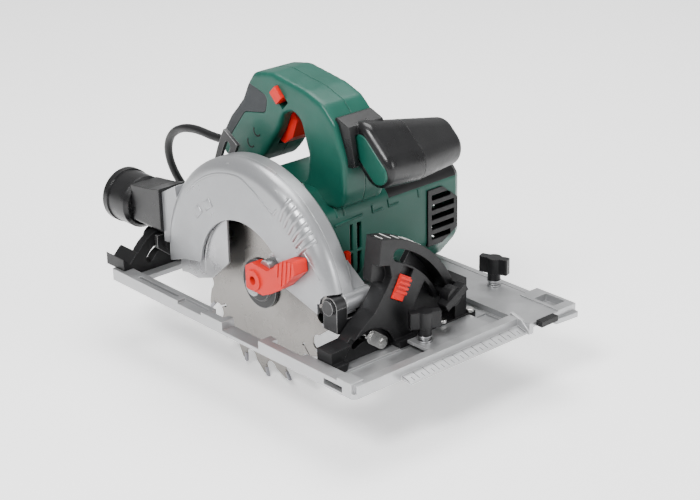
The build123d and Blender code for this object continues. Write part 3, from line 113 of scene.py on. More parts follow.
# ---- materials ----
class Nodes:
    """Short calls for building one material's node tree."""

    def __init__(self, name):
        self.material = bpy.data.materials.new(name)
        self.material.use_nodes = True
        self.tree = self.material.node_tree
        self.shader = self.tree.nodes["Principled BSDF"]
        self.place = self.add("ShaderNodeTexCoord").outputs["Object"]

    def add(self, kind, **settings):
        node = self.tree.nodes.new(kind)
        for key, value in settings.items():
            setattr(node, key, value)
        return node

    def link(self, source, target):
        self.tree.links.new(source, target)

    def stretched(self, scale):
        """The object's coordinates, scaled along each axis."""
        mapping = self.add("ShaderNodeMapping")
        mapping.inputs["Scale"].default_value = scale
        self.link(self.place, mapping.inputs["Vector"])
        return mapping.outputs["Vector"]

    def noise(self, scale, detail=2.0, place=None):
        """Soft random patches, from 0 to 1."""
        node = self.add("ShaderNodeTexNoise")
        node.inputs["Scale"].default_value = scale
        node.inputs["Detail"].default_value = detail
        self.link(place or self.place, node.inputs["Vector"])
        return node.outputs["Fac"]

    def ranged(self, value, low, high):
        """A value's middle part, 0.3 to 0.7, spread over a new range."""
        node = self.add("ShaderNodeMapRange")
        node.inputs["From Min"].default_value = 0.3
        node.inputs["From Max"].default_value = 0.7
        node.inputs["To Min"].default_value = low
        node.inputs["To Max"].default_value = high
        self.link(value, node.inputs["Value"])
        return node.outputs["Result"]

    def blend(self, share, first, second):
        """A colour between two others."""
        node = self.add("ShaderNodeMix", data_type="RGBA")
        for index, value in ((6, first), (7, second)):
            if not isinstance(value, bpy.types.NodeSocket):
                node.inputs[index].default_value = (*value, 1)
            else:
                self.link(value, node.inputs[index])
        if isinstance(share, bpy.types.NodeSocket):
            self.link(share, node.inputs[0])
        else:
            node.inputs[0].default_value = share
        return node.outputs[2]

    def bump(self, height, distance, normal=None):
        """A normal raised by a height, up to a distance."""
        node = self.add("ShaderNodeBump")
        node.inputs["Distance"].default_value = distance
        node.inputs["Strength"].default_value = 1
        self.link(height, node.inputs["Height"])
        if normal:
            self.link(normal, node.inputs["Normal"])
        return node.outputs["Normal"]

    def softened(self, radius):
        """The surface's normal with its corners rounded over a radius."""
        node = self.add("ShaderNodeBevel", samples=4)
        node.inputs["Radius"].default_value = radius
        return node.outputs["Normal"]

    def worn_edges(self, soft, sharpness=9.0):
        """How far a point is on a corner: 0 on a flat, 1 on an edge."""
        geometry = self.add("ShaderNodeNewGeometry")
        dot = self.add("ShaderNodeVectorMath", operation="DOT_PRODUCT")
        self.link(soft, dot.inputs[0])
        self.link(geometry.outputs["Normal"], dot.inputs[1])
        node = self.add("ShaderNodeMapRange")
        node.inputs["From Min"].default_value = 1
        node.inputs["From Max"].default_value = 1 - 1 / sharpness
        self.link(dot.outputs["Value"], node.inputs["Value"])
        return node.outputs["Result"]

    def put(self, name, value):
        """Sets or links one socket of the shader."""
        socket = self.shader.inputs[name]
        if isinstance(value, bpy.types.NodeSocket):
            self.link(value, socket)
        elif isinstance(value, tuple):
            socket.default_value = (*value, 1)
        else:
            socket.default_value = value


def moulded(name, color, roughness, grain=1400, depth=0.00006, corner=0.0009, worn=0.25, spread=0.12,
            specular=0.5):
    """Moulded plastic or rubber: a fine grain, patchy gloss and slightly paler corners."""
    m = Nodes(name)
    soft = m.softened(corner)
    cloud = m.ranged(m.noise(22, 3), 0, 1)
    darker = tuple(c * (1 - spread) for c in color)
    lighter = tuple(min(1, c * (1 + spread) + 0.002) for c in color)
    base = m.blend(cloud, darker, lighter)
    edge = tuple(min(1, c * 1.7 + 0.03) for c in color)
    rubbed = m.add("ShaderNodeMath", operation="MULTIPLY")
    m.link(m.worn_edges(soft), rubbed.inputs[0])
    rubbed.inputs[1].default_value = worn
    m.put("Base Color", m.blend(rubbed.outputs[0], base, edge))
    m.put("Roughness", m.ranged(m.noise(90, 4), roughness - 0.06, roughness + 0.07))
    m.put("Specular IOR Level", specular)
    m.put("Normal", m.bump(m.noise(grain, 2), depth, soft))
    return m.material


def cast(name, color, roughness, metallic, grain=700, depth=0.00009, corner=0.0009):
    """Die-cast metal, bare or painted: a soft orange peel, faint flow marks and bright corners."""
    m = Nodes(name)
    soft = m.softened(corner)
    flow = m.ranged(m.noise(9, 4, m.stretched((1, 2.6, 1.4))), 0, 1)
    base = m.blend(flow, tuple(c * 0.93 for c in color), tuple(min(1, c * 1.05) for c in color))
    speck = m.ranged(m.noise(420, 2), 0, 0.16)
    base = m.blend(speck, base, tuple(c * 0.72 for c in color))
    shine = m.add("ShaderNodeMath", operation="MULTIPLY")
    m.link(m.worn_edges(soft), shine.inputs[0])
    shine.inputs[1].default_value = 0.35
    m.put("Base Color", m.blend(shine.outputs[0], base, (0.9, 0.9, 0.9)))
    m.put("Metallic", metallic)
    m.put("Roughness", m.ranged(m.noise(60, 4), roughness - 0.05, roughness + 0.08))
    m.put("Normal", m.bump(m.noise(grain, 3), depth, soft))
    return m.material


def lathed(name, color, roughness, axis, centre, anisotropic=0.0, corner=0.0004):
    """Steel turned or ground round an axis: fine rings about it, and a few scuffs."""
    m = Nodes(name)
    soft = m.softened(corner)
    split = m.add("ShaderNodeSeparateXYZ")
    m.link(m.place, split.inputs[0])
    across = [c for c in "XYZ" if c != axis]
    squares = []
    for letter, middle in zip(across, centre):
        offset = m.add("ShaderNodeMath", operation="SUBTRACT")
        m.link(split.outputs[letter], offset.inputs[0])
        offset.inputs[1].default_value = middle
        square = m.add("ShaderNodeMath", operation="MULTIPLY")
        m.link(offset.outputs[0], square.inputs[0])
        m.link(offset.outputs[0], square.inputs[1])
        squares.append(square.outputs[0])
    total = m.add("ShaderNodeMath", operation="ADD")
    m.link(squares[0], total.inputs[0])
    m.link(squares[1], total.inputs[1])
    radius = m.add("ShaderNodeMath", operation="SQRT")
    m.link(total.outputs[0], radius.inputs[0])
    rings = m.add("ShaderNodeTexNoise", noise_dimensions="1D")
    rings.inputs["Scale"].default_value = 2600
    rings.inputs["Detail"].default_value = 3
    m.link(radius.outputs[0], rings.inputs["W"])
    lay = m.ranged(rings.outputs["Fac"], 0, 1)
    haze = m.ranged(m.noise(18, 4), 0, 1)
    base = m.blend(lay, tuple(c * 0.86 for c in color), tuple(min(1, c * 1.08) for c in color))
    m.put("Base Color", m.blend(haze, base, tuple(c * 0.9 for c in color)))
    m.put("Metallic", 1.0)
    m.put("Roughness", m.ranged(m.noise(45, 4), roughness - 0.05, roughness + 0.08))
    m.put("Normal", m.bump(rings.outputs["Fac"], 0.00003, soft))
    if anisotropic:
        m.put("Anisotropic", anisotropic)
        tangent = m.add("ShaderNodeTangent", direction_type="RADIAL", axis=axis)
        m.link(tangent.outputs[0], m.shader.inputs["Tangent"])
    return m.material


def smooth_metal(name, color, roughness, grain=900, corner=0.0005):
    """Plated or machined metal with fine scratches along its length."""
    m = Nodes(name)
    soft = m.softened(corner)
    scratch = m.noise(grain, 3, m.stretched((0.08, 1, 1)))
    base = m.blend(m.ranged(scratch, 0, 1), tuple(c * 0.85 for c in color), color)
    m.put("Base Color", base)
    m.put("Metallic", 1.0)
    m.put("Roughness", m.ranged(m.noise(50, 4), roughness - 0.04, roughness + 0.1))
    m.put("Normal", m.bump(scratch, 0.00002, soft))
    return m.material


def banded(name, color, dark, axis_scale, roughness, metallic):
    """Stacked sheets or wound wire: close parallel lines."""
    m = Nodes(name)
    wave = m.add("ShaderNodeTexWave", wave_type="BANDS")
    wave.inputs["Scale"].default_value = 1
    wave.inputs["Distortion"].default_value = 0.4
    m.link(m.stretched(axis_scale), wave.inputs["Vector"])
    m.put("Base Color", m.blend(wave.outputs["Fac"], dark, color))
    m.put("Metallic", metallic)
    m.put("Roughness", m.ranged(m.noise(80, 3), roughness - 0.05, roughness + 0.08))
    m.put("Normal", m.bump(wave.outputs["Fac"], 0.0001))
    return m.material


def make_materials():
    """Every material by its short name."""
    return {
        "green": moulded("green_plastic", (0.003, 0.062, 0.043), 0.36, grain=1300, depth=0.00005,
                         corner=0.0012, worn=0.16, specular=0.32),
        "black": moulded("black_plastic", (0.0035, 0.0035, 0.004), 0.4, grain=1100, depth=0.00007,
                         worn=0.14, specular=0.3),
        "satin": moulded("satin_black_plastic", (0.005, 0.005, 0.0055), 0.3, grain=1600, depth=0.00004,
                         corner=0.0012, worn=0.14, specular=0.36),
        "grip": moulded("soft_grip", (0.03, 0.033, 0.036), 0.62, grain=900, depth=0.00012, worn=0.1,
                        specular=0.3),
        "dark_grip": moulded("front_grip_rubber", (0.006, 0.006, 0.0065), 0.4, grain=800,
                             depth=0.00012, worn=0.1, specular=0.36),
        "red": moulded("red_plastic", (0.56, 0.012, 0.007), 0.38, grain=1500, depth=0.00003, worn=0.14,
                       spread=0.06, specular=0.2),
        "nylon": moulded("filled_nylon", (0.007, 0.007, 0.008), 0.5, grain=700, depth=0.0001,
                         specular=0.3),
        "cord": moulded("cord_sheath", (0.004, 0.004, 0.0045), 0.42, grain=900, depth=0.00008,
                        corner=0.0003, worn=0.05, specular=0.3),
        "guard": cast("guard_paint", (0.31, 0.315, 0.325), 0.32, 0.65, grain=520, depth=0.00006),
        "base": cast("cast_plate", (0.4, 0.404, 0.41), 0.34, 0.75, grain=480, depth=0.00008),
        "case": cast("cast_case", (0.5, 0.5, 0.51), 0.45, 0.8),
        "blade": lathed("ground_blade", (0.25, 0.238, 0.225), 0.24, "Y", ARBOR, anisotropic=0.85),
        "hub": lathed("turned_steel", (0.5, 0.5, 0.51), 0.3, "Y", ARBOR, anisotropic=0.4),
        "black_steel": cast("black_coated_steel", (0.012, 0.012, 0.013), 0.36, 0.3, grain=600,
                            depth=0.00005),
        "plate": cast("plated_guard", (0.4, 0.4, 0.41), 0.28, 0.75, grain=420, depth=0.00004),
        "zinc": smooth_metal("bright_zinc", (0.72, 0.72, 0.7), 0.22),
        "steel": smooth_metal("machined_steel", (0.56, 0.56, 0.57), 0.3),
        "carbide": smooth_metal("carbide", (0.3, 0.3, 0.32), 0.35),
        "stack": banded("laminations", (0.22, 0.22, 0.23), (0.08, 0.08, 0.08), (1, 900, 1), 0.45, 0.8),
        "copper": banded("enamelled_wire", (0.6, 0.22, 0.08), (0.3, 0.09, 0.03), (1, 900, 900), 0.3,
                         0.9),
        "carbon": moulded("carbon", (0.02, 0.02, 0.02), 0.6, grain=600, depth=0.0001),
        "ink": moulded("dark_scale_ink", (0.03, 0.03, 0.03), 0.5, worn=0.0, spread=0.05),
        "mark": moulded("pale_print", (0.75, 0.75, 0.73), 0.5, worn=0.0, spread=0.05),
    }


CAD_FINISH = {
    "base": ("base_plate",),
    "black": ("rail_pads", "front_sector", "rear_sector", "guide_clamp_knob", "rail_clamp_knob",
              "front_tilt_knob", "rear_tilt_knob", "motor_top_panel", "vent_frame",
              "depth_clamp_lever"),
    "satin": ("dust_adapter", "dust_spout", "front_grip_base"),
    "dark_grip": ("front_grip_shell",),
    "grip": ("grip_pad",),
    "red": ("tilt_stop_slider", "guard_lever", "trigger", "lock_off_button", "spindle_lock_button"),
    "green": ("motor_housing", "handle_shell_near", "handle_shell_far", "front_grip_cap"),
    "guard": ("upper_guard_cover", "guard_housing"),
    "plate": ("lower_guard",),
    "case": ("gear_case",),
    "blade": ("saw_blade",),
    "carbide": ("carbide_tips",),
    "hub": ("inner_flange", "blade_bolt", "spindle", "spindle_gear"),
    "black_steel": ("outer_flange", "tilt_frame", "pivot_bracket", "depth_guide", "depth_pivot_pin"),
    "steel": ("guide_clamp_screw", "rail_clamp_screw", "guard_spring", "bearings"),
    "zinc": ("sector_screws", "front_guide_plate", "guard_screws", "handle_screws", "plug_pins"),
    "stack": ("armature", "stator"),
    "copper": ("field_coils",),
    "carbon": ("carbon_brushes",),
    "nylon": ("fan", "switch_body"),
    "cord": ("cord_guard", "power_cord", "cord_coil", "plug_body"),
}


def finish_cad(materials):
    """Gives every CAD node its material."""
    for name, nodes in CAD_FINISH.items():
        for node in nodes:
            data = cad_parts[node].data
            data.materials.clear()
            data.materials.append(materials[name])


# ---- mesh helpers ----
def link_piece(name, data, material, body):
    """A new object that rides on a body."""
    piece = bpy.data.objects.new(name, data)
    bpy.context.scene.collection.objects.link(piece)
    data.materials.clear()
    data.materials.append(material)
    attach(piece, body)
    return piece


def polar(radius, angle, centre=ARBOR):
    """The (x, z) point at a radius and an angle in degrees about a centre."""
    return (centre[0] + radius * cos(radians(angle)), centre[1] + radius * sin(radians(angle)))


def rounded(outline, radius, steps=5):
    """The outline's corners turned into arcs, each as large as its sides allow up to a radius."""
    points = []
    count = len(outline)
    for index, corner in enumerate(outline):
        here = Vector(corner)
        back = Vector(outline[index - 1]) - here
        ahead = Vector(outline[(index + 1) % count]) - here
        turn = pi - back.angle(ahead)
        if turn < 0.03:
            points.append(here)
            continue
        reach = min(radius * tan(turn / 2), 0.45 * min(back.length, ahead.length))
        first = here + back.normalized() * reach
        last = here + ahead.normalized() * reach
        for step in range(steps + 1):
            share = step / steps
            points.append(first.lerp(here, share).lerp(here.lerp(last, share), share))
    return points


def slab(outline, near_y, far_y):
    """A bmesh of an (x, z) outline between two y values."""
    mesh = bmesh.new()
    near = [mesh.verts.new((p[0], near_y, p[1])) for p in outline]
    far = [mesh.verts.new((p[0], far_y, p[1])) for p in outline]
    mesh.faces.new(near)
    mesh.faces.new(far)
    for index in range(len(outline)):
        after = (index + 1) % len(outline)
        mesh.faces.new((near[index], near[after], far[after], far[index]))
    bmesh.ops.recalc_face_normals(mesh, faces=mesh.faces)
    return mesh


def bevel_rim(mesh, y, width, segments):
    """Rounds the edges of a slab that lie at one y."""
    nearly = 1e-6
    rim = [e for e in mesh.edges if all(abs(v.co.y - y) < nearly for v in e.verts)]
    bmesh.ops.bevel(mesh, geom=rim, offset=width, segments=segments, profile=0.5, affect="EDGES",
                    clamp_overlap=True)


def plain_mesh(name, mesh):
    """A bmesh turned into mesh data, and freed."""
    data = bpy.data.meshes.new(name)
    mesh.to_mesh(data)
    mesh.free()
    return data


def shade_smooth(data, angle):
    """Smooth shading up to an angle in degrees between faces."""
    for face in data.polygons:
        face.use_smooth = True
    data.set_sharp_from_angle(angle=radians(angle))


def to_mesh(name, mesh):
    """A bmesh turned into smooth-shaded mesh data."""
    data = plain_mesh(name, mesh)
    shade_smooth(data, 40)
    return data


def with_modifiers(piece):
    """A copy of an object's mesh as its modifiers leave it."""
    bpy.context.view_layer.update()
    evaluated = piece.evaluated_get(bpy.context.evaluated_depsgraph_get())
    return bpy.data.meshes.new_from_object(evaluated)


def cut(piece, cutter, operation="DIFFERENCE"):
    """Applies a boolean with a mesh, which is thrown away."""
    tool = bpy.data.objects.new("cutter", cutter)
    bpy.context.scene.collection.objects.link(tool)
    modifier = piece.modifiers.new("cut", "BOOLEAN")
    modifier.operation = operation
    modifier.object = tool
    modifier.solver = "EXACT"
    result = with_modifiers(piece)
    piece.modifiers.clear()
    piece.data = result
    bpy.data.objects.remove(tool)


def line(name, points, radius, material, body, order=2):
    """A round bead along points: straight runs at order 2, one smooth curve above it."""
    data = bpy.data.curves.new(name, "CURVE")
    data.dimensions = "3D"
    data.bevel_depth = radius
    data.bevel_resolution = 3
    data.use_fill_caps = True
    spline = data.splines.new("NURBS" if order > 2 else "POLY")
    spline.points.add(len(points) - 1)
    for point, place in zip(spline.points, points):
        point.co = (*place, 1)
    if order > 2:
        spline.order_u = order
        spline.use_endpoint_u = True
    return link_piece(name, data, material, body)


# ---- lines that lie on the CAD's own surfaces ----
def surface(data):
    """A mesh, ready to be asked where its surface is."""
    mesh = bmesh.new()
    mesh.from_mesh(data)
    tree = BVHTree.FromBMesh(mesh)
    mesh.free()
    return tree


def land(tree, start, direction):
    """Where a straight look from a start first meets the surface, or None."""
    return tree.ray_cast(Vector(start), Vector(direction))[0]


def lay_line(name, tree, starts, direction, radius, material, body, order=3, sink=0.0):
    """A bead sunk in a surface, along the places seen from a row of starts."""
    found = [land(tree, start, direction) for start in starts]
    places = [place + Vector(direction) * sink for place in found if place is not None]
    return line(name, places, radius, material, body, order=order)


def arc(radius, start, end, steps, y, centre=ARBOR):
    """Points at one radius from one angle to another, on a plane of constant y."""
    points = []
    for step in range(steps + 1):
        x, z = polar(radius, start + (end - start) * step / steps, centre)
        points.append((x, y, z))
    return points


# ---- upper guard ----
ALONG_Y = (0, 1, 0)
AHEAD_OF_GUARD = -0.06
CREASE_RADIUS = 0.0915
# radius and angle of each point where the crease leaves its arc
CREASE_END = ((0.0885, 84), (0.085, 76), (0.0812, 63), (0.0812, 62), (0.09, 61), (0.101, 60))
LOWER_CREASE = ((0.086, 41.5), (0.0925, 32), (0.0955, 21), (0.097, 9))
CREASE_BEAD, CREASE_SINK = 0.0012, 0.0006
LOUVRE_ANGLES = (57, 48.5, 40.5)
LOUVRE_LEANS = (0, 4.2)
LOUVRE_START, LOUVRE_STEP, LOUVRE_CURL, LOUVRE_POINTS = 0.0835, 0.0036, 0.35, 6
LOUVRE_BEAD, LOUVRE_SINK = 0.0022, 0.001
SQUARES = ((0.0715, 125.5), (0.0735, 138.5))
SQUARE_HALF_LENGTH, SQUARE_HALF_WIDTH = 0.0048, 0.0036
SQUARE_RISE = 0.0007


def make_guard_details(materials):
    """Raised creases, cooling ribs and two small pads on the guard's face."""
    cover = surface(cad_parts["upper_guard_cover"].data)
    paint = materials["guard"]
    crease = arc(CREASE_RADIUS, 138, 90, 10, AHEAD_OF_GUARD)
    for radius, angle in CREASE_END:
        x, z = polar(radius, angle)
        crease.append((x, AHEAD_OF_GUARD, z))
    lay_line("guard_crease_upper", cover, crease, ALONG_Y, CREASE_BEAD, paint, HEAD, sink=CREASE_SINK)
    lower = [polar(radius, angle) for radius, angle in LOWER_CREASE]
    lay_line("guard_crease_lower", cover, [(x, AHEAD_OF_GUARD, z) for x, z in lower], ALONG_Y,
             CREASE_BEAD, paint, HEAD, sink=CREASE_SINK)
    for index, angle in enumerate(LOUVRE_ANGLES):
        for side, lean in enumerate(LOUVRE_LEANS):
            places = [polar(LOUVRE_START + LOUVRE_STEP * step, angle - lean + LOUVRE_CURL * step)
                      for step in range(LOUVRE_POINTS)]
            starts = [(x, AHEAD_OF_GUARD, z) for x, z in places]
            lay_line(f"guard_louvre_{index}_{side}", cover, starts, ALONG_Y, LOUVRE_BEAD, paint, HEAD,
                     sink=LOUVRE_SINK)
    face_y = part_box("upper_guard_cover")[0][1]
    for index, (radius, angle) in enumerate(SQUARES):
        centre = polar(radius, angle)
        along = Vector(polar(1, angle - 90, (0, 0)))
        out = Vector(polar(1, angle, (0, 0)))
        corners = [Vector(centre) + along * a * SQUARE_HALF_LENGTH + out * b * SQUARE_HALF_WIDTH
                   for a, b in ((-1, -1), (1, -1), (1, 1), (-1, 1))]
        pad = slab(corners, face_y - SQUARE_RISE, face_y + 0.001)
        bevel_rim(pad, face_y - SQUARE_RISE, 0.0003, 2)
        link_piece(f"guard_pad_{index}", to_mesh("guard_pad", pad), paint, HEAD)


# ---- main handle ----
HANDLE_NEAR, HANDLE_SEAM, HANDLE_FAR = 0.032, 0.053, 0.074
HANDLE_OUTLINE = (
    (58, 92), (62, 106), (62, 132), (52, 158), (38, 171), (20, 177), (-20, 183), (-42, 179),
    (-50, 168), (-57, 154), (-73, 137), (-88, 115), (-85, 103), (-68, 98), (-42, 104), (-34, 112),
    (-14, 138), (-8, 152), (4, 158), (13, 152), (21, 128), (19, 108), (10, 101), (30, 90),
)
GRIP_OUTLINE = ((-64, 172), (-44, 168), (-25, 163), (-28, 149), (-54, 144), (-74, 119), (-96, 111),
                (-110, 118), (-110, 172))
TRIGGER_OPENING = ((-18, 158), (-2, 156), (-4, 136), (-20, 120), (-40, 124), (-30, 150))
TRIGGER_HALF_WIDTH = 0.0115
LOCK_OFF_SLOT = (-0.0102, 0.1657)
LOCK_OFF_LEAN = -45
LOCK_OFF_HALF_LENGTH, LOCK_OFF_HALF_WIDTH = 0.0084, 0.0049
CORD_HOLE_RADIUS, CORD_HOLE_Z = 0.0088, 0.1035
CORD_HOLE_START, CORD_HOLE_END = -0.104, -0.076
SCREW_HOLE_RADIUS, SCREW_HOLE_DEPTH = 0.004, 0.0024
CORNER_RADIUS = 0.009
GRIP_CORNER_RADIUS = 0.006
FAR_SCREWS = ((-56, 124), (16, 167), (42, 132))
SEAM_GAP = 0.00022
HANDLE_SHARP_ANGLE = 38
# radius of the two black arcs that paint the shade inside two small recesses on the grip
RECESS_SHADE_RADIUS = 0.0042
GRIP_GAP = 0.0003
REMESH_SIZE = 0.0013
# centres of the two black arcs of painted shade, standing in for two small recesses on the grip's near
# face
RECESS_SHADE_ARCS = ((-0.0398, 0.1315), (-0.048, 0.1204))


def in_metres(outline):
    """The points of a millimetre outline."""
    return [Vector((x * MM, z * MM)) for x, z in outline]


def whole_handle():
    """The handle's body with its edges melted round, as one closed mesh."""
    body = slab(rounded(in_metres(HANDLE_OUTLINE), CORNER_RADIUS), HANDLE_NEAR, HANDLE_FAR)
    handle = bpy.data.objects.new("handle_body", to_mesh("handle_body", body))
    bpy.context.scene.collection.objects.link(handle)
    remesh = handle.modifiers.new("even", "REMESH")
    remesh.mode = "VOXEL"
    remesh.voxel_size = REMESH_SIZE
    soften = handle.modifiers.new("soften", "SMOOTH")
    soften.factor = 0.5
    soften.iterations = 26
    result = with_modifiers(handle)
    bpy.data.objects.remove(handle)
    return result


def cylinder(radius, start, end, steps=40):
    """A closed cylinder between two points."""
    axis = Vector(end) - Vector(start)
    mesh = bmesh.new()
    turn = axis.to_track_quat("Z", "Y").to_matrix().to_4x4()
    place = Matrix.Translation((Vector(start) + Vector(end)) / 2) @ turn
    bmesh.ops.create_cone(mesh, cap_ends=True, segments=steps, radius1=radius, radius2=radius,
                          depth=axis.length, matrix=place)
    return plain_mesh("cylinder", mesh)


def prism_mesh(outline, near_y, far_y):
    """A straight-sided cutter from an (x, z) outline."""
    return plain_mesh("prism", slab(outline, near_y, far_y))


def wide_box(near_y, far_y):
    """A cutter far larger than the handle, between two y values."""
    return prism_mesh([Vector(p) for p in ((-0.3, -0.1), (0.3, -0.1), (0.3, 0.4), (-0.3, 0.4))],
                      near_y, far_y)


def lock_off_slot():
    """The leaning slot for the lock-off button, as an (x, z) outline."""
    lean = radians(LOCK_OFF_LEAN)
    corners = []
    for along, across in ((-1, -1), (1, -1), (1, 1), (-1, 1)):
        a, b = along * LOCK_OFF_HALF_LENGTH, across * LOCK_OFF_HALF_WIDTH
        corners.append(Vector(LOCK_OFF_SLOT) + Vector((cos(lean) * a - sin(lean) * b,
                                                       sin(lean) * a + cos(lean) * b)))
    return corners


def make_handle(materials):
    """Two green half shells with a seam between them, the grey soft grip set into them, and two black
    arcs of painted recess shade on the grip.
    """
    body = whole_handle()
    grip_region = rounded(in_metres(GRIP_OUTLINE), GRIP_CORNER_RADIUS)
    pad = link_piece("handle_grip_pad", body.copy(), materials["grip"], HEAD)
    cut(pad, prism_mesh([p + Vector((-GRIP_GAP, GRIP_GAP)) for p in grip_region], 0, 0.1), "INTERSECT")
    shade_smooth(pad.data, HANDLE_SHARP_ANGLE)
    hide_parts("grip_pad")
    opening = in_metres(TRIGGER_OPENING)
    slot = lock_off_slot()
    for side, node, near, far in (("near", "handle_shell_near", 0, HANDLE_SEAM - SEAM_GAP),
                                  ("far", "handle_shell_far", HANDLE_SEAM + SEAM_GAP, 0.11)):
        shell = link_piece(f"handle_{side}", body.copy(), materials["green"], HEAD)
        cut(shell, wide_box(near, far), "INTERSECT")
        cut(shell, prism_mesh(grip_region, -0.01, 0.12))
        cut(shell, prism_mesh(opening, HANDLE_SEAM - TRIGGER_HALF_WIDTH,
                              HANDLE_SEAM + TRIGGER_HALF_WIDTH))
        cut(shell, prism_mesh(slot, 0, 0.12))
        cut(shell, cylinder(CORD_HOLE_RADIUS, (CORD_HOLE_START, HANDLE_SEAM, CORD_HOLE_Z),
                            (CORD_HOLE_END, HANDLE_SEAM, CORD_HOLE_Z)))
        if side == "far":
            for x, z in FAR_SCREWS:
                cut(shell, cylinder(SCREW_HOLE_RADIUS,
                                    (x * MM, HANDLE_FAR - SCREW_HOLE_DEPTH, z * MM),
                                    (x * MM, HANDLE_FAR + 0.004, z * MM)))
        shade_smooth(shell.data, HANDLE_SHARP_ANGLE)
        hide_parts(node)
        if side == "near":
            face = surface(shell.data)
            # painted shade: raised black beads stand in for the dark inside two small recesses, which
            # are not cut
            for index, centre in enumerate(RECESS_SHADE_ARCS):
                curve = arc(RECESS_SHADE_RADIUS, 150, 330, 6, 0, centre)
                lay_line(f"grip_recess_shade_{index}", face, curve, ALONG_Y, 0.001, materials["black"], HEAD,
                         sink=0.0006)


# ---- motor housing ----
AHEAD_OF_MOTOR = 0.12
BACKWARD = (-1, 0, 0)
NOTCH_Y = (0.072, 0.089, 0.121)
RIB_Y = (0.037, 0.044)
RIB_Z = (0.082, 0.086, 0.09, 0.094)
MOTOR_SINK = 0.0004


def make_motor_details(materials):
    """Ribs and small notch ridges on the motor's front flank."""
    housing = surface(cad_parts["motor_housing"].data)
    green = materials["green"]
    x = AHEAD_OF_MOTOR
    ridge = [(x, 0.034, 0.076), (x, 0.048, 0.0775), (x, 0.062, 0.078)]
    lay_line("motor_ridge", housing, ridge, BACKWARD, 0.0014, green, HEAD, sink=MOTOR_SINK)
    for index, y in enumerate(NOTCH_Y):
        notch = [(x, y, 0.083), (x, y + 0.001, 0.077), (x, y + 0.011, 0.0775)]
        lay_line(f"motor_notch_{index}", housing, notch, BACKWARD, 0.0013, green, HEAD, order=2,
                 sink=MOTOR_SINK)
    for index, y in enumerate(RIB_Y):
        lay_line(f"motor_rib_{index}", housing, [(x, y, z) for z in RIB_Z], BACKWARD, 0.0014, green,
                 HEAD, sink=MOTOR_SINK)


# ---- scales ----
SECTOR_TOP = 0.094
SECTOR_SCAN_RADIUS = 0.12
TILT_MARK_END_X = 0.1205
LONG_TILT_MARK_X, SHORT_TILT_MARK_X = 0.108, 0.112
PLATE_MARK_END_X = 0.1685
LONG_PLATE_MARK_X, SHORT_PLATE_MARK_X = 0.1608, 0.1645
ABOVE_PLATE = 0.05


def make_scales(materials):
    """Plain graduation lines on the tilt sector and along the plate's front ledge."""
    sector = surface(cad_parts["front_sector"].data)
    for step in range(10):
        angle = radians(90 - 5 * step)
        inward = (0, -cos(angle), -sin(angle))
        start = LONG_TILT_MARK_X if step % 3 == 0 else SHORT_TILT_MARK_X
        y, z = SECTOR_SCAN_RADIUS * cos(angle), SECTOR_SCAN_RADIUS * sin(angle)
        ends = [land(sector, (x, y, z), inward) for x in (start, TILT_MARK_END_X)]
        if all(end is not None and hypot(end.y, end.z) > SECTOR_TOP - 0.001 for end in ends):
            line(f"tilt_mark_{step}", ends, 0.0003, materials["mark"], "base")
    plate = surface(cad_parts["base_plate"].data)
    for step in range(25):
        y = -0.003 + 0.005 * step
        inner = LONG_PLATE_MARK_X if step % 2 == 0 else SHORT_PLATE_MARK_X
        ends = [land(plate, (x, y, ABOVE_PLATE), (0, 0, -1)) for x in (inner, PLATE_MARK_END_X)]
        if all(end is not None for end in ends):
            line(f"plate_mark_{step}", ends, 0.00022, materials["ink"], "base")


# ---- mains cord ----
CORD_RADIUS = 0.0036
LIE_Z = FLOOR_Z + CORD_RADIUS
COIL_CENTRE = (-0.185, 0.265)
COIL_SIDE = 0.0558
COIL_END_Y = COIL_CENTRE[1] - 0.031
TRACK = 2 * CORD_RADIUS
CORD_ROUTE = (
    (-0.100, 0.053, 0.1025),
    (-0.122, 0.053, 0.1005),
    (-0.148, 0.053, 0.102),
    (-0.172, 0.054, 0.097),
    (-0.191, 0.056, 0.085),
    (-0.2015, 0.060, 0.066),
    (-0.201, 0.066, 0.045),
    (-0.195, 0.075, 0.025),
    (-0.190, 0.088, 0.004),
    (-0.190, 0.104, -0.017),
    (-0.193, 0.122, -0.034),
    (-0.199, 0.142, -0.0465),
    (-0.208, 0.161, LIE_Z),
    (-0.222, 0.181, LIE_Z),
    (-0.235, 0.197, LIE_Z),
    (COIL_CENTRE[0] - COIL_SIDE, 0.216, LIE_Z),
    (COIL_CENTRE[0] - COIL_SIDE, COIL_END_Y, LIE_Z),
)
CORD_TAIL = (
    (COIL_CENTRE[0] + COIL_SIDE, COIL_END_Y, -0.043),
    (COIL_CENTRE[0] + COIL_SIDE, 0.213, -0.0495),
    (-0.1197, 0.1943, -0.0495),
    (-0.1027, 0.182, -0.045),
    (-0.082, 0.1787, -0.0405),
    (-0.0624, 0.1829, -0.038),
)


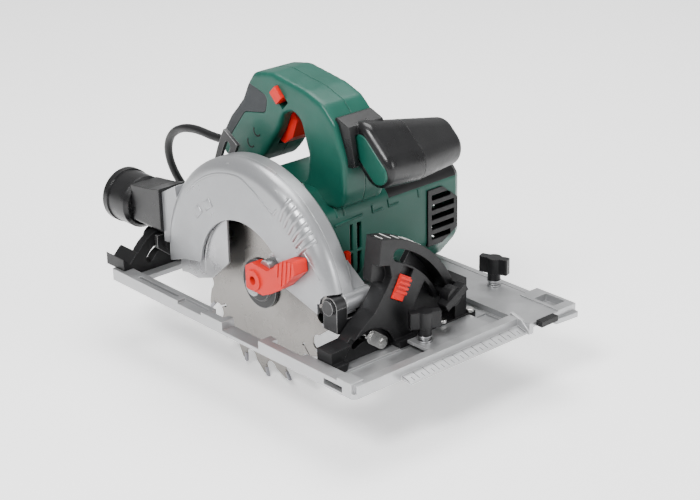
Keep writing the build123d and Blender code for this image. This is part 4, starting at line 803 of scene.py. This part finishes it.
def coil_points():
    """The coil's turns: four layers of tracks, in and out again, in twelve steps a turn."""
    tracks = []
    for layer, columns in enumerate(((0, 1, 2, 3), (3, 2, 1, 0), (1, 2, 3), (3, 2, 1))):
        for column in columns:
            tracks.append((COIL_SIDE - TRACK * column, LIE_Z + TRACK * layer))
    # a spline of twelve points a turn runs this far inside them
    spread = 1 / (0.75 + 0.25 * cos(radians(30)))
    points = []
    last_step = 12 * (len(tracks) - 2) + 6
    for step in range(1, last_step):
        turns, phase = divmod(step - 3, 12)
        done = max(0, turns + 1) if step >= 3 else 0
        radius, z = tracks[min(done, len(tracks) - 1)]
        if step >= 3 and phase == 0:
            before = tracks[min(done - 1, len(tracks) - 1)]
            radius, z = (radius + before[0]) / 2, (z + before[1]) / 2
        angle = radians(180 - 30 * step)
        points.append((COIL_CENTRE[0] + radius * spread * cos(angle),
                       COIL_CENTRE[1] + radius * spread * sin(angle), z))
    return points


def make_cord(material):
    """The whole mains cord on one smooth spline: from the handle, round its coil, to the plug."""
    points = list(CORD_ROUTE) + coil_points() + list(CORD_TAIL)
    cord = line("mains_cord", points, CORD_RADIUS, material, HEAD, order=3)
    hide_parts("power_cord", "cord_coil")


# ---- floor ----
def make_floor():
    """A wide pale floor with a slight glow of its own."""
    mesh = bmesh.new()
    bmesh.ops.create_grid(mesh, x_segments=1, y_segments=1, size=FLOOR_SIZE)
    floor = bpy.data.objects.new("floor", to_mesh("floor", mesh))
    floor.location = (0, 0, FLOOR_Z)
    bpy.context.scene.collection.objects.link(floor)
    pale = Nodes("pale_floor")
    patches = pale.ranged(pale.noise(3, 2), 0, 1)
    pale.put("Base Color", pale.blend(patches, (0.94, 0.94, 0.94), (0.96, 0.96, 0.96)))
    pale.put("Roughness", 0.7)
    pale.put("Emission Color", (1.0, 1.0, 1.0))
    pale.put("Emission Strength", FLOOR_GLOW)
    floor.data.materials.append(pale.material)


# ---- assembly ----
def main():
    make_camera()
    make_world(WORLD_STRENGTH)
    for light in LIGHTS:
        make_light(*light)
    materials = make_materials()
    finish_cad(materials)
    make_cord(materials["cord"])
    make_guard_details(materials)
    make_handle(materials)
    make_motor_details(materials)
    make_scales(materials)
    make_floor()


main()
